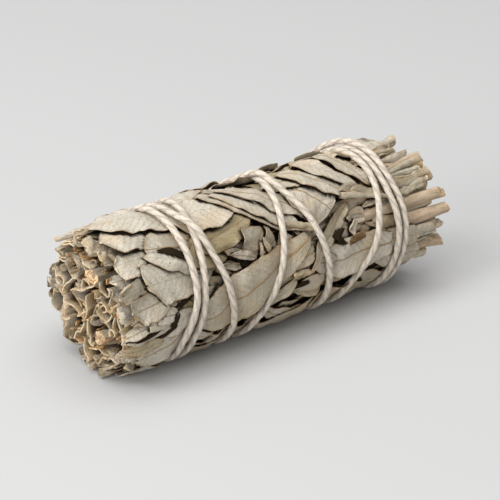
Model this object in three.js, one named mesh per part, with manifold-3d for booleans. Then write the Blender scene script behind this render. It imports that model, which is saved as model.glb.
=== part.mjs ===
// A bunch of dried sage, lying on its side: leaves pressed round woody stems and wound with cotton twine.
// Millimetres. +X runs along the bunch to the stem end, +Z is up, and the bunch rests on z = 0.
// A place on the bunch is given as (x, turn): turn is degrees round the axis, 0 at the top and growing
// down the front side (-Y). Reach is the distance from the axis.
import * as THREE from 'three';
import { mergeVertices } from 'three/addons/utils/BufferGeometryUtils.js';
import Module from 'manifold-3d';

const wasm = await Module();
wasm.setup();

const bunchRadius = 19;
const axisHeight = 17.75;
const coreRadius = 16.3;
const coreEnds = [-43, 37.5];
const leafThickness = 0.62;
const layerGap = 0.06;
const pinchedShare = 0.3;
const pinchWidth = 7;
const sideLimit = 19.4;
const lengthLimits = [-50, 52];
const gap = 0.3;
const twineRadius = 0.9;
const twineReach = 18.5;
const strandSpacing = 1.85;
const stemSides = 8;

// The middle between the furthest leaf tip and the furthest stem tip comes to x = 0.
const originShift = -(lengthLimits[0] + lengthLimits[1]) / 2;

const leafMaterial = new THREE.MeshStandardMaterial({ color: 0xb9b3a4, roughness: 0.9, metalness: 0 });
const stemMaterial = new THREE.MeshStandardMaterial({ color: 0xa08a6c, roughness: 0.85, metalness: 0 });
const twineMaterial = new THREE.MeshStandardMaterial({ color: 0xe8dfcf, roughness: 0.95, metalness: 0 });

const mix = (a, b, t) => a + (b - a) * t;
const clamp = (value, low, high) => Math.min(high, Math.max(low, value));

// A repeatable draw between 0 and 1 for one leaf and one purpose.
const draw = (index, purpose) => {
  const wave = Math.sin(index * 127.1 + purpose * 311.7) * 43758.5453;
  return wave - Math.floor(wave);
};

const place = (x, turn, reach) => {
  const angle = THREE.MathUtils.degToRad(turn);
  return new THREE.Vector3(x, -reach * Math.sin(angle), axisHeight + reach * Math.cos(angle));
};

// A closed skin over rings of equal count, with a zigzag over each end. The first half of a ring is its
// top and the second half its underside, and both are split into triangles alike.
function skin(rings) {
  const count = rings[0].length;
  const corner = (ring, k) => ring * count + (k % count);
  const index = [];
  for (let i = 0; i + 1 < rings.length; i += 1) {
    for (let k = 0; k < count; k += 1) {
      const [a, b, c, d] = [corner(i, k), corner(i, k + 1), corner(i + 1, k + 1), corner(i + 1, k)];
      index.push(...(k < count / 2 ? [a, b, c, a, c, d] : [a, b, d, b, c, d]));
    }
  }
  const last = rings.length - 1;
  for (let k = 0; k + 1 < count / 2; k += 1) {
    const quad = [k, k + 1, count - 2 - k, count - 1 - k];
    const [a, b, c, d] = quad.map((spot) => corner(0, spot));
    index.push(a, c, b, a, d, c);
    const [e, f, g, h] = quad.map((spot) => corner(last, spot));
    index.push(e, f, g, e, g, h);
  }
  const geometry = new THREE.BufferGeometry();
  const points = rings.flat().flatMap((point) => point.toArray());
  geometry.setAttribute('position', new THREE.Float32BufferAttribute(points, 3));
  geometry.setIndex(index);
  return geometry;
}

function toSolid(geometry) {
  const vertProperties = Float32Array.from(geometry.attributes.position.array);
  const triVerts = Uint32Array.from(geometry.index.array);
  const solid = new wasm.Manifold(new wasm.Mesh({ numProp: 3, vertProperties, triVerts }));
  return solid.volume() < 0 ? flipped(vertProperties, triVerts) : solid;
}

function flipped(vertProperties, triVerts) {
  const turned = triVerts.map((_, k) => triVerts[k - (k % 3) + (2 - (k % 3))]);
  return new wasm.Manifold(new wasm.Mesh({ numProp: 3, vertProperties, triVerts: turned }));
}

function toGeometry(solid) {
  const mesh = solid.getMesh();
  const geometry = new THREE.BufferGeometry();
  geometry.setAttribute('position', new THREE.Float32BufferAttribute(mesh.vertProperties, 3));
  geometry.setIndex(Array.from(mesh.triVerts));
  geometry.computeVertexNormals();
  return geometry;
}

// Twine: one cord, wound always the same way round. Each row is x and turn, counted on from the start.
const twineRoute = [
  [36.9, -158], [36.1, -140], [34.8, -100], [34.6, -60], [34.5, 0], [33.6, 40], [34.3, 75], [33.5, 100],
  [32.6, 120], [32.4, 220], [32.3, 340], [32, 380], [31, 400], [29, 420], [26, 448], [22, 466], [19, 475],
  [17.5, 550], [10.5, 640], [4.5, 700], [2.2, 740], [0.3, 760], [-2.7, 790], [-6, 815], [-10, 838],
  [-13, 910], [-18, 1000], [-20.5, 1050], [-22, 1080], [-23.5, 1100], [-25, 1125], [-27, 1160],
  [-28, 1180], [-29.5, 1195], [-29.8, 1280], [-28.8, 1340], [-28.3, 1420], [-28.5, 1480], [-29, 1520],
  [-31, 1540], [-33, 1555], [-31.4, 1635], [-26.5, 1690], [-26.1, 1780], [-25, 1822], [-23.5, 1835],
  [-20.5, 1870], [-17.5, 1915], [-16.5, 1990], [-6, 2070], [3, 2150], [5.5, 2180], [8.2, 2210],
  [10.4, 2240], [11.9, 2275], [13.5, 2350], [25, 2430], [34.6, 2490], [36, 2525], [35.6, 2550],
  [36.4, 2575], [36.5, 2600], [35.4, 2625], [34.8, 2650], [36.4, 2700], [36.2, 2740], [37.6, 2758],
];
const twineStep = 15;
const twineSides = 6;

// x at any turn, by straight runs between the route's rows, smoothed over a few degrees.
function routeX(turn) {
  const at = (wanted) => {
    const turnNow = clamp(wanted, twineRoute[0][1], twineRoute.at(-1)[1]);
    let k = 0;
    while (k < twineRoute.length - 2 && twineRoute[k + 1][1] < turnNow) k += 1;
    const [[x0, t0], [x1, t1]] = [twineRoute[k], twineRoute[k + 1]];
    return mix(x0, x1, (turnNow - t0) / (t1 - t0));
  };
  return (at(turn - 10) + 2 * at(turn) + at(turn + 10)) / 4;
}

// How near the cord passes to a place, along the bunch.
function cordDistance(x, turn) {
  let nearest = Infinity;
  const start = twineRoute[0][1];
  for (let t = start + ((turn - start) % 360 + 360) % 360; t <= twineRoute.at(-1)[1]; t += 360) {
    nearest = Math.min(nearest, Math.abs(routeX(t) - x));
  }
  return nearest;
}

// Leaves are pressed in under the cord: what stands above the core is scaled down near it.
function pressed(x, turn, reach) {
  if (reach < coreRadius) return reach;
  const near = clamp(2 * (1 - cordDistance(x, turn) / pinchWidth), 0, 1);
  return coreRadius + (reach - coreRadius) * mix(1, pinchedShare, near);
}

// The reach already filled by the leaves laid so far, on a grid of 1 mm along and 3 degrees round.
const degreesPerCell = 3;
const cellsRound = 360 / degreesPerCell;
const cellsAlong = 112;
const firstCellX = -56;
const filled = new Float64Array(cellsAlong * cellsRound).fill(coreRadius);
const millimetresPerDegree = bunchRadius * Math.PI / 180;

const cellAt = (i, j) => {
  const row = clamp(i, 0, cellsAlong - 1);
  const column = ((j % cellsRound) + cellsRound) % cellsRound;
  return row * cellsRound + column;
};

// The highest filled cell at and next to a place.
function highestNear(x, turn) {
  const i = Math.round(x - firstCellX);
  const j = Math.round(turn / degreesPerCell);
  let highest = 0;
  for (let di = -1; di <= 1; di += 1) {
    for (let dj = -1; dj <= 1; dj += 1) highest = Math.max(highest, filled[cellAt(i + di, j + dj)]);
  }
  return highest;
}

// Half the blade's width at u, from 0 at the base to 1 at the tip: it swells over the base's share of the
// length, stays full, and closes over the tip's share.
function halfWidth(leaf, u) {
  const swell = (t) => 1 - (1 - clamp(t, 0, 1)) ** 2;
  const share = swell((u + 0.04) / leaf.baseShare) * swell((1.03 - u) / leaf.tipShare) ** 0.8;
  return 0.5 * leaf.width * Math.max(share, 0.12);
}

// A leaf row becomes its middle line on the unrolled side: start, direction, length and sideways bow.
function unroll(row) {
  const [baseX, baseTurn, tipX, tipTurn, width, bow, tipShare, fold, curl] = row;
  const along = [tipX - baseX, (tipTurn - baseTurn) * millimetresPerDegree];
  const length = Math.hypot(...along);
  const heading = [along[0] / length, along[1] / length];
  return { baseX, baseTurn, heading, length, width, bow, tipShare, fold, curl, baseShare: 0.45 };
}

function sidePlace(leaf, u, v) {
  const sideways = 4 * leaf.bow * u * (1 - u) + v * halfWidth(leaf, u);
  const x = leaf.baseX + leaf.heading[0] * leaf.length * u - leaf.heading[1] * sideways;
  const across = leaf.heading[1] * leaf.length * u + leaf.heading[0] * sideways;
  return [x, leaf.baseTurn + across / millimetresPerDegree];
}

// Lays one leaf on what is filled so far, marks its own cells as filled, and returns its solid blade. Its
// base is sunk into the core, and it rises to its place over the base's share of its length.
const stations = 6;
const acrossSteps = [-1, 0, 1];
const rootShare = 0.2;
const nearShares = [-0.8, -0.4, 0, 0.4, 0.8];

function layLeaf(row) {
  const leaf = unroll(row);
  const lift = leafThickness / 2 + layerGap;
  const reaches = acrossSteps.map((v) => {
    const line = [];
    for (let i = 0; i < stations; i += 1) {
      let highest = 0;
      for (const du of nearShares) {
        const u = clamp((i + du) / (stations - 1), 0.15, 1);
        for (const dv of nearShares) {
          const [x, turn] = sidePlace(leaf, u, clamp(v + dv, -1, 1));
          highest = Math.max(highest, highestNear(x, turn));
        }
      }
      line.push(highest + lift);
    }
    return line;
  });
  reaches[1] = reaches[1].map((reach, i) => Math.max(reach, (reaches[0][i] + reaches[2][i]) / 2));
  const reachAt = (u, v) => {
    const along = clamp(u, 0, 1) * (stations - 1);
    const i = Math.min(Math.floor(along), stations - 2);
    const side = v < 0 ? reaches[0] : reaches[2];
    const middle = mix(reaches[1][i], reaches[1][i + 1], along - i);
    const edge = mix(side[i], side[i + 1], along - i);
    const root = Math.max(0, 1 - u / rootShare);
    const shape = leaf.fold * Math.abs(v) + leaf.curl * v * v * Math.sin(Math.PI * u);
    return mix(mix(middle, edge, Math.abs(v)) + shape, coreRadius - 0.6, root);
  };
  const rings = [];
  for (let i = 0; i < stations; i += 1) {
    const u = i / (stations - 1);
    const point = (v, side) => {
      const [x, turn] = sidePlace(leaf, u, v);
      return place(x, turn, pressed(x, turn, reachAt(u, v)) + side * leafThickness / 2);
    };
    const top = acrossSteps.map((v) => point(v, 1));
    const under = acrossSteps.map((v) => point(v, -1));
    rings.push([...top, ...under.reverse()]);
  }
  markFilled(leaf, (u, v) => reachAt(u, v) + leafThickness / 2);
  return toSolid(skin(rings));
}

function markFilled(leaf, reachAt) {
  for (let i = 0; i < cellsAlong; i += 1) {
    for (let j = 0; j < cellsRound; j += 1) {
      const dx = i + firstCellX - leaf.baseX;
      const turnAway = ((j * degreesPerCell - leaf.baseTurn + 540) % 360 + 360) % 360 - 180;
      const ds = turnAway * millimetresPerDegree;
      const u = (dx * leaf.heading[0] + ds * leaf.heading[1]) / leaf.length;
      if (u < 0 || u > 1) continue;
      const sideways = ds * leaf.heading[0] - dx * leaf.heading[1] - 4 * leaf.bow * u * (1 - u);
      const v = sideways / halfWidth(leaf, u);
      if (Math.abs(v) > 1) continue;
      const cell = cellAt(i, j);
      filled[cell] = Math.max(filled[cell], reachAt(u, v));
    }
  }
}

// Leaf rows. Each one: base x, base turn, tip x, tip turn, width, sideways bow, share of the length over
// which the tip closes, fold along the midrib and curl of the edges (both in reach, at the edge).
const hiddenLeaves = [];
for (let index = 0; index < 9; index += 1) {
  const turn = index * 40 + 14 * draw(index, 1);
  const tipTurn = turn + 16 * (draw(index, 4) - 0.5);
  const bow = 1.5 * (draw(index, 5) - 0.5);
  const [baseX, tipX] = [-20 + 6 * draw(index, 2), -47 + 4 * draw(index, 3)];
  hiddenLeaves.push([baseX, turn, tipX, tipTurn, 10.5, bow, 0.2, 0, 0.3]);
}
for (let index = 12; index < 17; index += 1) {
  const turn = index * 72 + 20 * draw(index, 1);
  const tipTurn = turn + 30 * (draw(index, 4) - 0.5);
  const bow = 2 * (draw(index, 5) - 0.5);
  const [baseX, tipX] = [12 + 6 * draw(index, 2), 39 + 3 * draw(index, 3)];
  hiddenLeaves.push([baseX, turn, tipX, tipTurn, 12, bow, 0.4, 0, 0.3]);
}

const frontLeaves = [
  [-28, 104, -46, 111, 6.5, 0, 0.3, 0, 0.3],
  [-26, 86, -43, 97, 6.5, 0.5, 0.4, 0, 0.4],
  [-34, 72, -48, 77, 6, 0, 0.2, 0, 0.6],
  [-24, 60, -44, 63, 9.5, 0.5, 0.25, 0, 0.5],
  [-30, 42, -49, 41, 7, 0, 0.2, 0, 0.9],
  [-28, 16, -46, 18, 9, 0, 0.3, 0, 0.5],
  [-20, 41, -38, 38, 9.5, -0.5, 0.15, 0, 0.9],
  [-20, 9, -43, -3, 13.5, 0.8, 0.3, 0, 0.4],
  [-28, 43, -10, 38, 11, 0, 0.5, 0, 0.4],
  [-27, 0, -8, 20, 12, 1, 0.4, 0, 0.4],
  [-9, 66, -5, 41, 7, 0, 0.7, 0, 0.6],
  [-14, -14, 5, 47, 7, 0, 0.5, 0, 0.5],
  [-12, -14, 7, 24, 7, 1, 0.5, 0, 0.4],
  [8, 8, 15, 47, 12, 0, 0.15, 0, 0.3],
  [8, -12, 27, 43, 6, 1, 0.5, 0, 0.4],
  [15, -14, 30, 33, 6, 1, 0.5, 0, 0.4],
  [27, 42, 17, 75, 7, 0, 0.4, 0, 0.7],
  [22, 98, 43, 108, 10, 0, 0.3, 0, 0.4],
  [28, 82, 6, 97, 11, 0.8, 0.5, 0, 0.4],
  [22, 43, 5, 92, 6, 0.6, 0.6, 0, 0.5],
  [-3, 104, -24, 113, 5.5, 0, 0.5, 0, 0.4],
  [7, 60, -29, 105, 14, -1.5, 0.3, 0, 0.5],
  [24, -8, 46.5, -5, 6, 0, 0.15, 0, -1],
];

const underLeaves = [
  [-34, 176, -6, 183, 13, 0, 0.4, 0, 0],
  [2, 186, 31, 178, 13, 0, 0.4, 0, 0],
  [16, 178, -17, 182, 14, 0, 0.4, 0, 0],
];
const backLeaves = [];
for (let index = 40; index < 49; index += 1) {
  const column = index % 6;
  const backwards = index % 2 ? 1 : -1;
  const length = mix(22, 33, draw(index, 1));
  const middleX = mix(-32, 28, (column + 0.6 * draw(index, 2)) / 5.4);
  const turn = mix(122, 338, ((index - 40) * 0.618) % 1);
  const slant = 26 * (draw(index, 3) - 0.5);
  const width = mix(6, 13, draw(index, 4));
  const bow = 2 * (draw(index, 5) - 0.5);
  const tipShare = mix(0.3, 0.6, draw(index, 6));
  const half = backwards * length / 2;
  backLeaves.push([middleX - half, turn - slant, middleX + half, turn + slant, width, bow, tipShare, 0, 0.4]);
}

// Leaf ends: cut strips of leaf that stand out of the leaf end, in rings round the axis.
function endStrip(index) {
  const rings = [[3, 4], [6.6, 7], [10.2, 11], [13.6, 15]];
  let ring = 0;
  let within = index;
  while (within >= rings[ring][1]) {
    within -= rings[ring][1];
    ring += 1;
  }
  const [reach, count] = rings[ring];
  const turn = (within + 0.5 * draw(index, 1)) * 360 / count;
  const slant = mix(-50, 50, draw(index, 2));
  const wide = mix(4.2, 6.2, draw(index, 3));
  const arch = mix(-1.1, 1.4, draw(index, 4));
  const tip = mix(-45, -49.5, draw(index, 5));
  const centre = place(0, turn, reach);
  const lean = THREE.MathUtils.degToRad(slant);
  const angle = THREE.MathUtils.degToRad(turn);
  const round = new THREE.Vector3(0, -Math.cos(angle), -Math.sin(angle));
  const out = new THREE.Vector3(0, -Math.sin(angle), Math.cos(angle));
  const across = round.clone().multiplyScalar(Math.cos(lean)).addScaledVector(out, Math.sin(lean));
  const normal = out.clone().multiplyScalar(Math.cos(lean)).addScaledVector(round, -Math.sin(lean));
  const sections = [-42, tip].map((x, station) => {
    const point = (v, side) => {
      const ragged = station === 1 ? 1.6 * (draw(index, 7 + v) - 0.5) : 0;
      const bowed = arch * (1 - v * v);
      const at = centre.clone().addScaledVector(across, 0.5 * wide * v);
      at.addScaledVector(normal, bowed + side * leafThickness / 2);
      at.x = x + ragged;
      return at;
    };
    return [point(-1, 1), point(0, 1), point(1, 1), point(1, -1), point(0, -1), point(-1, -1)];
  });
  return toSolid(skin(sections));
}

// Stems: each follows a curve through places near the leaf end, the middle and the stem end.
// Each row: radius, then x, turn and reach of its points.
const stemRows = [
  [2.3, [-48.5, 23, 10], [0, 20, 9.5], [34, 24, 14.4], [50.2, 25, 16.2]],
  [1.9, [-42, 50, 12.6], [0, 45, 13], [34, 43, 15], [50, 44, 16.4]],
  [2.0, [-42, 80, 11.5], [0, 68, 12.5], [34, 61, 15], [51.6, 62, 16.9]],
  [2.1, [-42, 110, 10], [0, 95, 12.5], [34, 79, 14.9], [52, 77, 16.8]],
  [2.2, [-47.5, 150, 8.4], [0, 125, 12], [34, 107, 14.2], [51.6, 110, 15.9]],
  [1.8, [-42, 75, 5], [0, 60, 6], [30, 62, 8.5], [46, 62, 10]],
  [2.0, [-47, -42, 10.1], [0, -30, 10], [34, -30, 11.5], [49, -30, 12.4]],
  [2.0, [-42, -85, 10], [0, -80, 10], [34, -80, 12], [50, -80, 12.8]],
  [1.9, [-42, 185, 11.5], [0, 165, 11], [34, 152, 11.8], [48.5, 150, 12.2]],
  [2.0, [-42, -130, 11], [0, -135, 11], [34, -135, 12.5], [51, -135, 13.2]],
];
const stemStations = 3;

function stemSolid(row, extra) {
  const radius = row[0] + extra;
  const curve = new THREE.CatmullRomCurve3(row.slice(1).map((point) => place(...point)));
  const rings = [];
  for (let i = 0; i <= stemStations; i += 1) {
    const middle = curve.getPoint(i / stemStations);
    middle.x += extra * (2 * i / stemStations - 1);
    const ring = [];
    for (let k = 0; k < stemSides; k += 1) {
      const angle = (k / stemSides) * 2 * Math.PI;
      const [y, z] = [middle.y + radius * Math.cos(angle), middle.z + radius * Math.sin(angle)];
      ring.push(new THREE.Vector3(middle.x, y, z));
    }
    rings.push(ring);
  }
  return toSolid(skin(rings));
}

// Where the cord presses on what the bunch rests on, it runs flat along it.
const flatReach = (turn) => {
  const down = -Math.cos(THREE.MathUtils.degToRad(turn));
  return down > 0.2 ? (axisHeight - twineRadius) / down : Infinity;
};

// Where a strand comes over one that was wound before it, it rides on top of it.
const fineStep = 3;
const finePerStep = twineStep / fineStep;

function twinePath() {
  const fine = [];
  for (let turn = twineRoute[0][1]; turn <= twineRoute.at(-1)[1]; turn += fineStep) {
    let reach = twineReach;
    for (let k = fine.length - 360 / fineStep; k >= 0; k -= 360 / fineStep) {
      const between = 0.93 * Math.abs(routeX(turn) - fine[k].x);
      const over = Math.sqrt(Math.max(0, strandSpacing ** 2 - between ** 2));
      if (over > 0) reach = Math.max(reach, fine[k].reach + over);
    }
    fine.push({ x: routeX(turn), turn, reach });
  }
  const steps = fine.filter((_, i) => i % finePerStep === 0);
  const reaches = steps.map((_, i) => {
    const middle = i * finePerStep;
    const around = fine.slice(Math.max(0, middle - finePerStep + 1), middle + finePerStep);
    return Math.max(...around.map((point) => point.reach));
  });
  return steps.map((point, i) => ({ ...point, reach: Math.min(reaches[i], flatReach(point.turn)) }));
}

// Rings of a cord section along the path. A section point is (sideways, outward) from the path.
function alongTwine(path, section) {
  const points = path.map((point) => place(point.x, point.turn, point.reach));
  return path.map((point, i) => {
    const following = points[Math.min(i + 1, points.length - 1)];
    const ahead = following.clone().sub(points[Math.max(i - 1, 0)]).normalize();
    const outward = place(0, point.turn, 1).sub(place(0, point.turn, 0));
    const sideways = new THREE.Vector3().crossVectors(ahead, outward).normalize();
    const up = new THREE.Vector3().crossVectors(sideways, ahead);
    return section.map(([side, out]) => {
      const corner = points[i].clone().addScaledVector(sideways, side);
      return corner.addScaledVector(up, out);
    });
  });
}

const cordSection = [];
for (let k = 0; k < twineSides; k += 1) {
  const angle = ((k + 0.5) / twineSides) * 2 * Math.PI;
  cordSection.push([twineRadius * Math.cos(angle), twineRadius * Math.sin(angle)]);
}
const grooveHalf = twineRadius + gap;
const grooveTop = 4;
const grooveSection = [
  [grooveHalf, -grooveHalf], [grooveHalf, grooveTop], [-grooveHalf, grooveTop], [-grooveHalf, -grooveHalf],
];

const path = twinePath();
const bareTwine = toSolid(skin(alongTwine(path, cordSection)));

// The knot: one bight of the cord drawn tight round both ends where they cross at the back.
const knot = { x: 36.1, turn: 220, reach: 19.2, radius: 1.35 };

function knotSolid() {
  const ring = new THREE.TorusGeometry(knot.radius, twineRadius, 6, 10);
  const bare = mergeVertices(ring.deleteAttribute('normal').deleteAttribute('uv'));
  bare.rotateX(THREE.MathUtils.degToRad(-knot.turn));
  const centre = place(knot.x, knot.turn, knot.reach);
  return toSolid(bare.translate(centre.x, centre.y, centre.z));
}

const groove = toSolid(skin(alongTwine(path, grooveSection)));

// The leaf mass: a solid core, the leaves on it, and the leaf ends.
const coreLength = coreEnds[1] - coreEnds[0];
const coreProfile = [[0, 0], [coreRadius - 1, 0], [coreRadius, 2], [coreRadius, coreLength - 2],
  [coreRadius - 1, coreLength], [0, coreLength]].map(([radius, along]) => new THREE.Vector2(radius, along));

function coreSolid() {
  const rings = coreProfile.slice(1, -1).map((point) => {
    const ring = [];
    for (let k = 0; k < 24; k += 1) ring.push(place(coreEnds[0] + point.y, k * 15, point.x));
    return ring;
  });
  return toSolid(skin(rings));
}

function boxSolid(low, high) {
  const ring = (x) => [[low[1], low[2]], [high[1], low[2]], [high[1], high[2]], [low[1], high[2]]]
    .map(([y, z]) => new THREE.Vector3(x, y, z));
  return toSolid(skin([ring(low[0]), ring(high[0])]));
}

const larger = (best, body) => (body.volume() > best.volume() ? body : best);
const largestBody = (solid) => solid.decompose().reduce(larger);

// The solid's triangles with every corner moved to a fine grid, without those that close up on the way.
function onGrid(solid, step) {
  const geometry = toGeometry(solid).deleteAttribute('normal').toNonIndexed();
  const corners = geometry.attributes.position.array;
  corners.forEach((value, k) => {
    corners[k] = Math.round(value / step) * step;
  });
  const merged = mergeVertices(geometry, step / 4);
  const kept = [];
  for (let k = 0; k < merged.index.count; k += 3) {
    const triangle = [0, 1, 2].map((corner) => merged.index.array[k + corner]);
    if (new Set(triangle).size === 3) kept.push(...triangle);
  }
  return merged.setIndex(kept);
}

// True if every edge has one triangle on each side.
function isClosed(geometry) {
  const index = geometry.index.array;
  const edges = new Set();
  index.forEach((from, k) => {
    const to = index[k % 3 === 2 ? k - 2 : k + 1];
    edges.add(`${from} ${to}`);
  });
  const paired = [...edges].every((edge) => edges.has(edge.split(' ').reverse().join(' ')));
  return paired && edges.size === index.length;
}

// Keeps the one large body, so sealed hollows fill and scraps drop, on the first grid that leaves it closed.
function cleaned(solid) {
  for (let step = 0.002; step < 0.02; step += 0.0005) {
    const body = largestBody(toSolid(onGrid(largestBody(solid), step)));
    const geometry = onGrid(body, step);
    if (isClosed(geometry) && toSolid(geometry).decompose().length === 1) return toSolid(geometry);
  }
  throw new Error('no grid leaves the leaf mass closed');
}

// The leaves stand back from the knot.
function knotRoom() {
  const half = knot.radius + twineRadius + gap;
  const centre = place(knot.x, knot.turn, knot.reach);
  const low = [knot.x - half, centre.y - half, centre.z - half];
  const high = [knot.x + half, centre.y + half, centre.z + half];
  return boxSolid(low, high);
}

function leafMass() {
  const blades = [...hiddenLeaves, ...frontLeaves, ...backLeaves, ...underLeaves].map(layLeaf);
  const ends = [];
  for (let index = 0; index < 37; index += 1) ends.push(endStrip(index));
  const joined = wasm.Manifold.union([coreSolid(), ...blades, ...ends]);
  const room = boxSolid([lengthLimits[0], -sideLimit, 0], [lengthLimits[1], sideLimit, 45]);
  const holes = wasm.Manifold.union([groove, knotRoom(), ...stemRows.map((row) => stemSolid(row, gap))]);
  return cleaned(joined.intersect(room).subtract(holes));
}

const bunch = new THREE.Group();
bunch.position.x = originShift;

function addPiece(name, solid, material) {
  const mesh = new THREE.Mesh(toGeometry(solid), material);
  mesh.name = name;
  bunch.add(mesh);
}

const mass = leafMass();
addPiece('leaf_bunch', mass, leafMaterial);
stemRows.forEach((row, index) => {
  addPiece(`stem_${String(index + 1).padStart(2, '0')}`, stemSolid(row, 0), stemMaterial);
});
addPiece('twine', cleaned(bareTwine.add(knotSolid())), twineMaterial);

export default bunch;
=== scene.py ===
import functools

import bpy
import numpy as np
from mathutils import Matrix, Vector


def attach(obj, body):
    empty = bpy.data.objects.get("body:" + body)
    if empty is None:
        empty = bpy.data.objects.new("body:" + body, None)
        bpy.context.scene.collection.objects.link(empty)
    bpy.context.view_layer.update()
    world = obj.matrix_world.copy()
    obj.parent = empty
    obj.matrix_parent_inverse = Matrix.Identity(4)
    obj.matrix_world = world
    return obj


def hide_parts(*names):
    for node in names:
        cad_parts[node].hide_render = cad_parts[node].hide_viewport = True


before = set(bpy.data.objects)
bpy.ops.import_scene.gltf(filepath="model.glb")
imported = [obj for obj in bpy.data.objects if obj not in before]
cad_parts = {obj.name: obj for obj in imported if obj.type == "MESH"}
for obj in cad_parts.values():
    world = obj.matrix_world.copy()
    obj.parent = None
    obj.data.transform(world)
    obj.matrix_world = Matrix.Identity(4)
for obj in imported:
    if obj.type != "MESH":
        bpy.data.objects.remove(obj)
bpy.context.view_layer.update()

metre = 0.001
circle = 2 * np.pi
goldenTurn = 137.5  # from one leaf of a layer to the next
bunch = {
    "axisHeight": 17.75,  # of the axis above the table
    "shift": -1.0,  # from a place's x to the row frame's x
    "radius": 19.0,  # of the side on which a leaf's length and width are measured
    "coreReach": 15.2,  # of the dark heart under the leaves
    "leafReach": 19.15,  # of the outermost leaves between the strands
    "cordReach": 17.75,  # of the leaves right under a strand
    "restHeight": 0.8,  # below this the leaves flatten against the table
    "floor": 0.15,  # of a sheet's middle above the table
}
core = bunch["coreReach"]
mmPerDegree = bunch["radius"] * np.pi / 180


def mix(a, b, share):
    return a + (b - a) * share


# 0 below 0, 1 above 1, and a smooth rise between.
def smooth(share):
    t = np.clip(share, 0, 1)
    return t * t * (3 - 2 * t)


# Grows with the value to the limit, and past it less and less, by an exponential that ends at the room.
def held(value, limit, room):
    return np.minimum(value, limit) + room * (1 - np.exp(-np.maximum(value - limit, 0) / room))


def column(low, high, count):
    return np.linspace(low, high, count)[:, None]


# Steps from -1 to 1 as a row, closer to each other towards the ends.
def sineRow(count):
    return np.sin(np.linspace(-np.pi / 2, np.pi / 2, count))[None, :]


# A smooth random field with a spread of 1: the sum of sine waves over (a, b), with directions, lengths and
# phases from the seed.
def ripple(a, b, seed, waves=7):
    rng = np.random.default_rng(seed)
    draws = [rng.uniform(*limits, waves) for limits in ((0, circle), (0.6, 1.9), (0, circle))]
    each = (np.sin(pace * (a * np.cos(heading) + b * np.sin(heading)) + phase)
            for heading, pace, phase in zip(*draws))
    return sum(each) / np.sqrt(waves / 2)


# The point at each place: round the axis by the turn, out by the reach.
def onBunch(x, turn, reach):
    angle = np.radians(turn)
    y, z = -reach * np.sin(angle), bunch["axisHeight"] + reach * np.cos(angle)
    return np.stack(np.broadcast_arrays(x + bunch["shift"], y, z), axis=-1)


def outward(turn):
    return onBunch(0, turn, 1.0) - onBunch(0, turn, 0.0)


# What would sink into the table is flattened just above it.
def restOnTable(points):
    points[..., 2] = -held(-points[..., 2], -bunch["restHeight"], bunch["restHeight"] - bunch["floor"])
    return points


# The faces of a closed sheet of rows x columns points. Its underside shares the margin's points with its top.
@functools.cache
def sheetPattern(rows, columns):
    top = np.arange(rows * columns).reshape(rows, columns)
    under = top.copy()
    under[1:-1, 1:-1] = rows * columns + np.arange((rows - 2) * (columns - 2)).reshape(rows - 2, -1)
    over = [grid.ravel() for grid in (top[:-1, :-1], top[1:, :-1], top[1:, 1:], top[:-1, 1:])]
    back = [grid.ravel() for grid in (under[:-1, :-1], under[:-1, 1:], under[1:, 1:], under[1:, :-1])]
    return np.concatenate([np.stack(over, 1), np.stack(back, 1)])


# Gives a sheet its thickness: each point moves by half of it along the sheet's own normal, out for the top
# and in for the underside, and it falls to nothing in a quarter circle at the margin.
def thickSheet(middle, rim, thickness, values):
    normal = np.cross(np.gradient(middle, axis=0), np.gradient(middle, axis=1))
    normal = normal / (np.linalg.norm(normal, axis=-1, keepdims=True) + 1e-9)
    inward = np.clip(rim / (0.8 * thickness), 0, 1)
    half = 0.5 * thickness * np.sqrt(1 - (1 - inward) ** 2)
    half[0], half[-1], half[:, 0], half[:, -1] = 0, 0, 0, 0
    offset = normal * half[..., None]
    points = [(middle + offset).reshape(-1, 3), (middle - offset)[1:-1, 1:-1].reshape(-1, 3)]
    part = {"points": np.concatenate(points), "quads": sheetPattern(*rim.shape)}
    for name, value in {"rim": rim, **values}.items():
        grid = np.broadcast_to(value, rim.shape)
        part[name] = np.concatenate([grid.ravel(), grid[1:-1, 1:-1].ravel()])
    return part


# Closes rings of an even number of points into a solid: quads round the side and a zigzag over each end.
def tubeQuads(rings, sides):
    first = np.arange(rings * sides).reshape(rings, sides)
    following = np.roll(first, -1, axis=1)
    side = np.stack([first[:-1], following[:-1], following[1:], first[1:]], -1).reshape(-1, 4)
    k = np.arange(sides // 2 - 1)
    zigzag = np.stack([k, sides - 1 - k, sides - 2 - k, k + 1], 1)
    return np.concatenate([side, zigzag, zigzag[:, ::-1] + (rings - 1) * sides])


# A part from rings of points. The order is -1 where the rings run the other way round.
def tubePart(points, values, order=1):
    rings, sides = points.shape[:2]
    part = {"points": points.reshape(-1, 3), "quads": tubeQuads(rings, sides)[:, ::order]}
    return part | {key: np.broadcast_to(value, (rings, sides)).ravel() for key, value in values.items()}


def link(name, data):
    thing = bpy.data.objects.new(name, data)
    bpy.context.scene.collection.objects.link(thing)
    return thing


sharpDegrees = 48  # a fold steeper than this shows as a crisp edge


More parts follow.
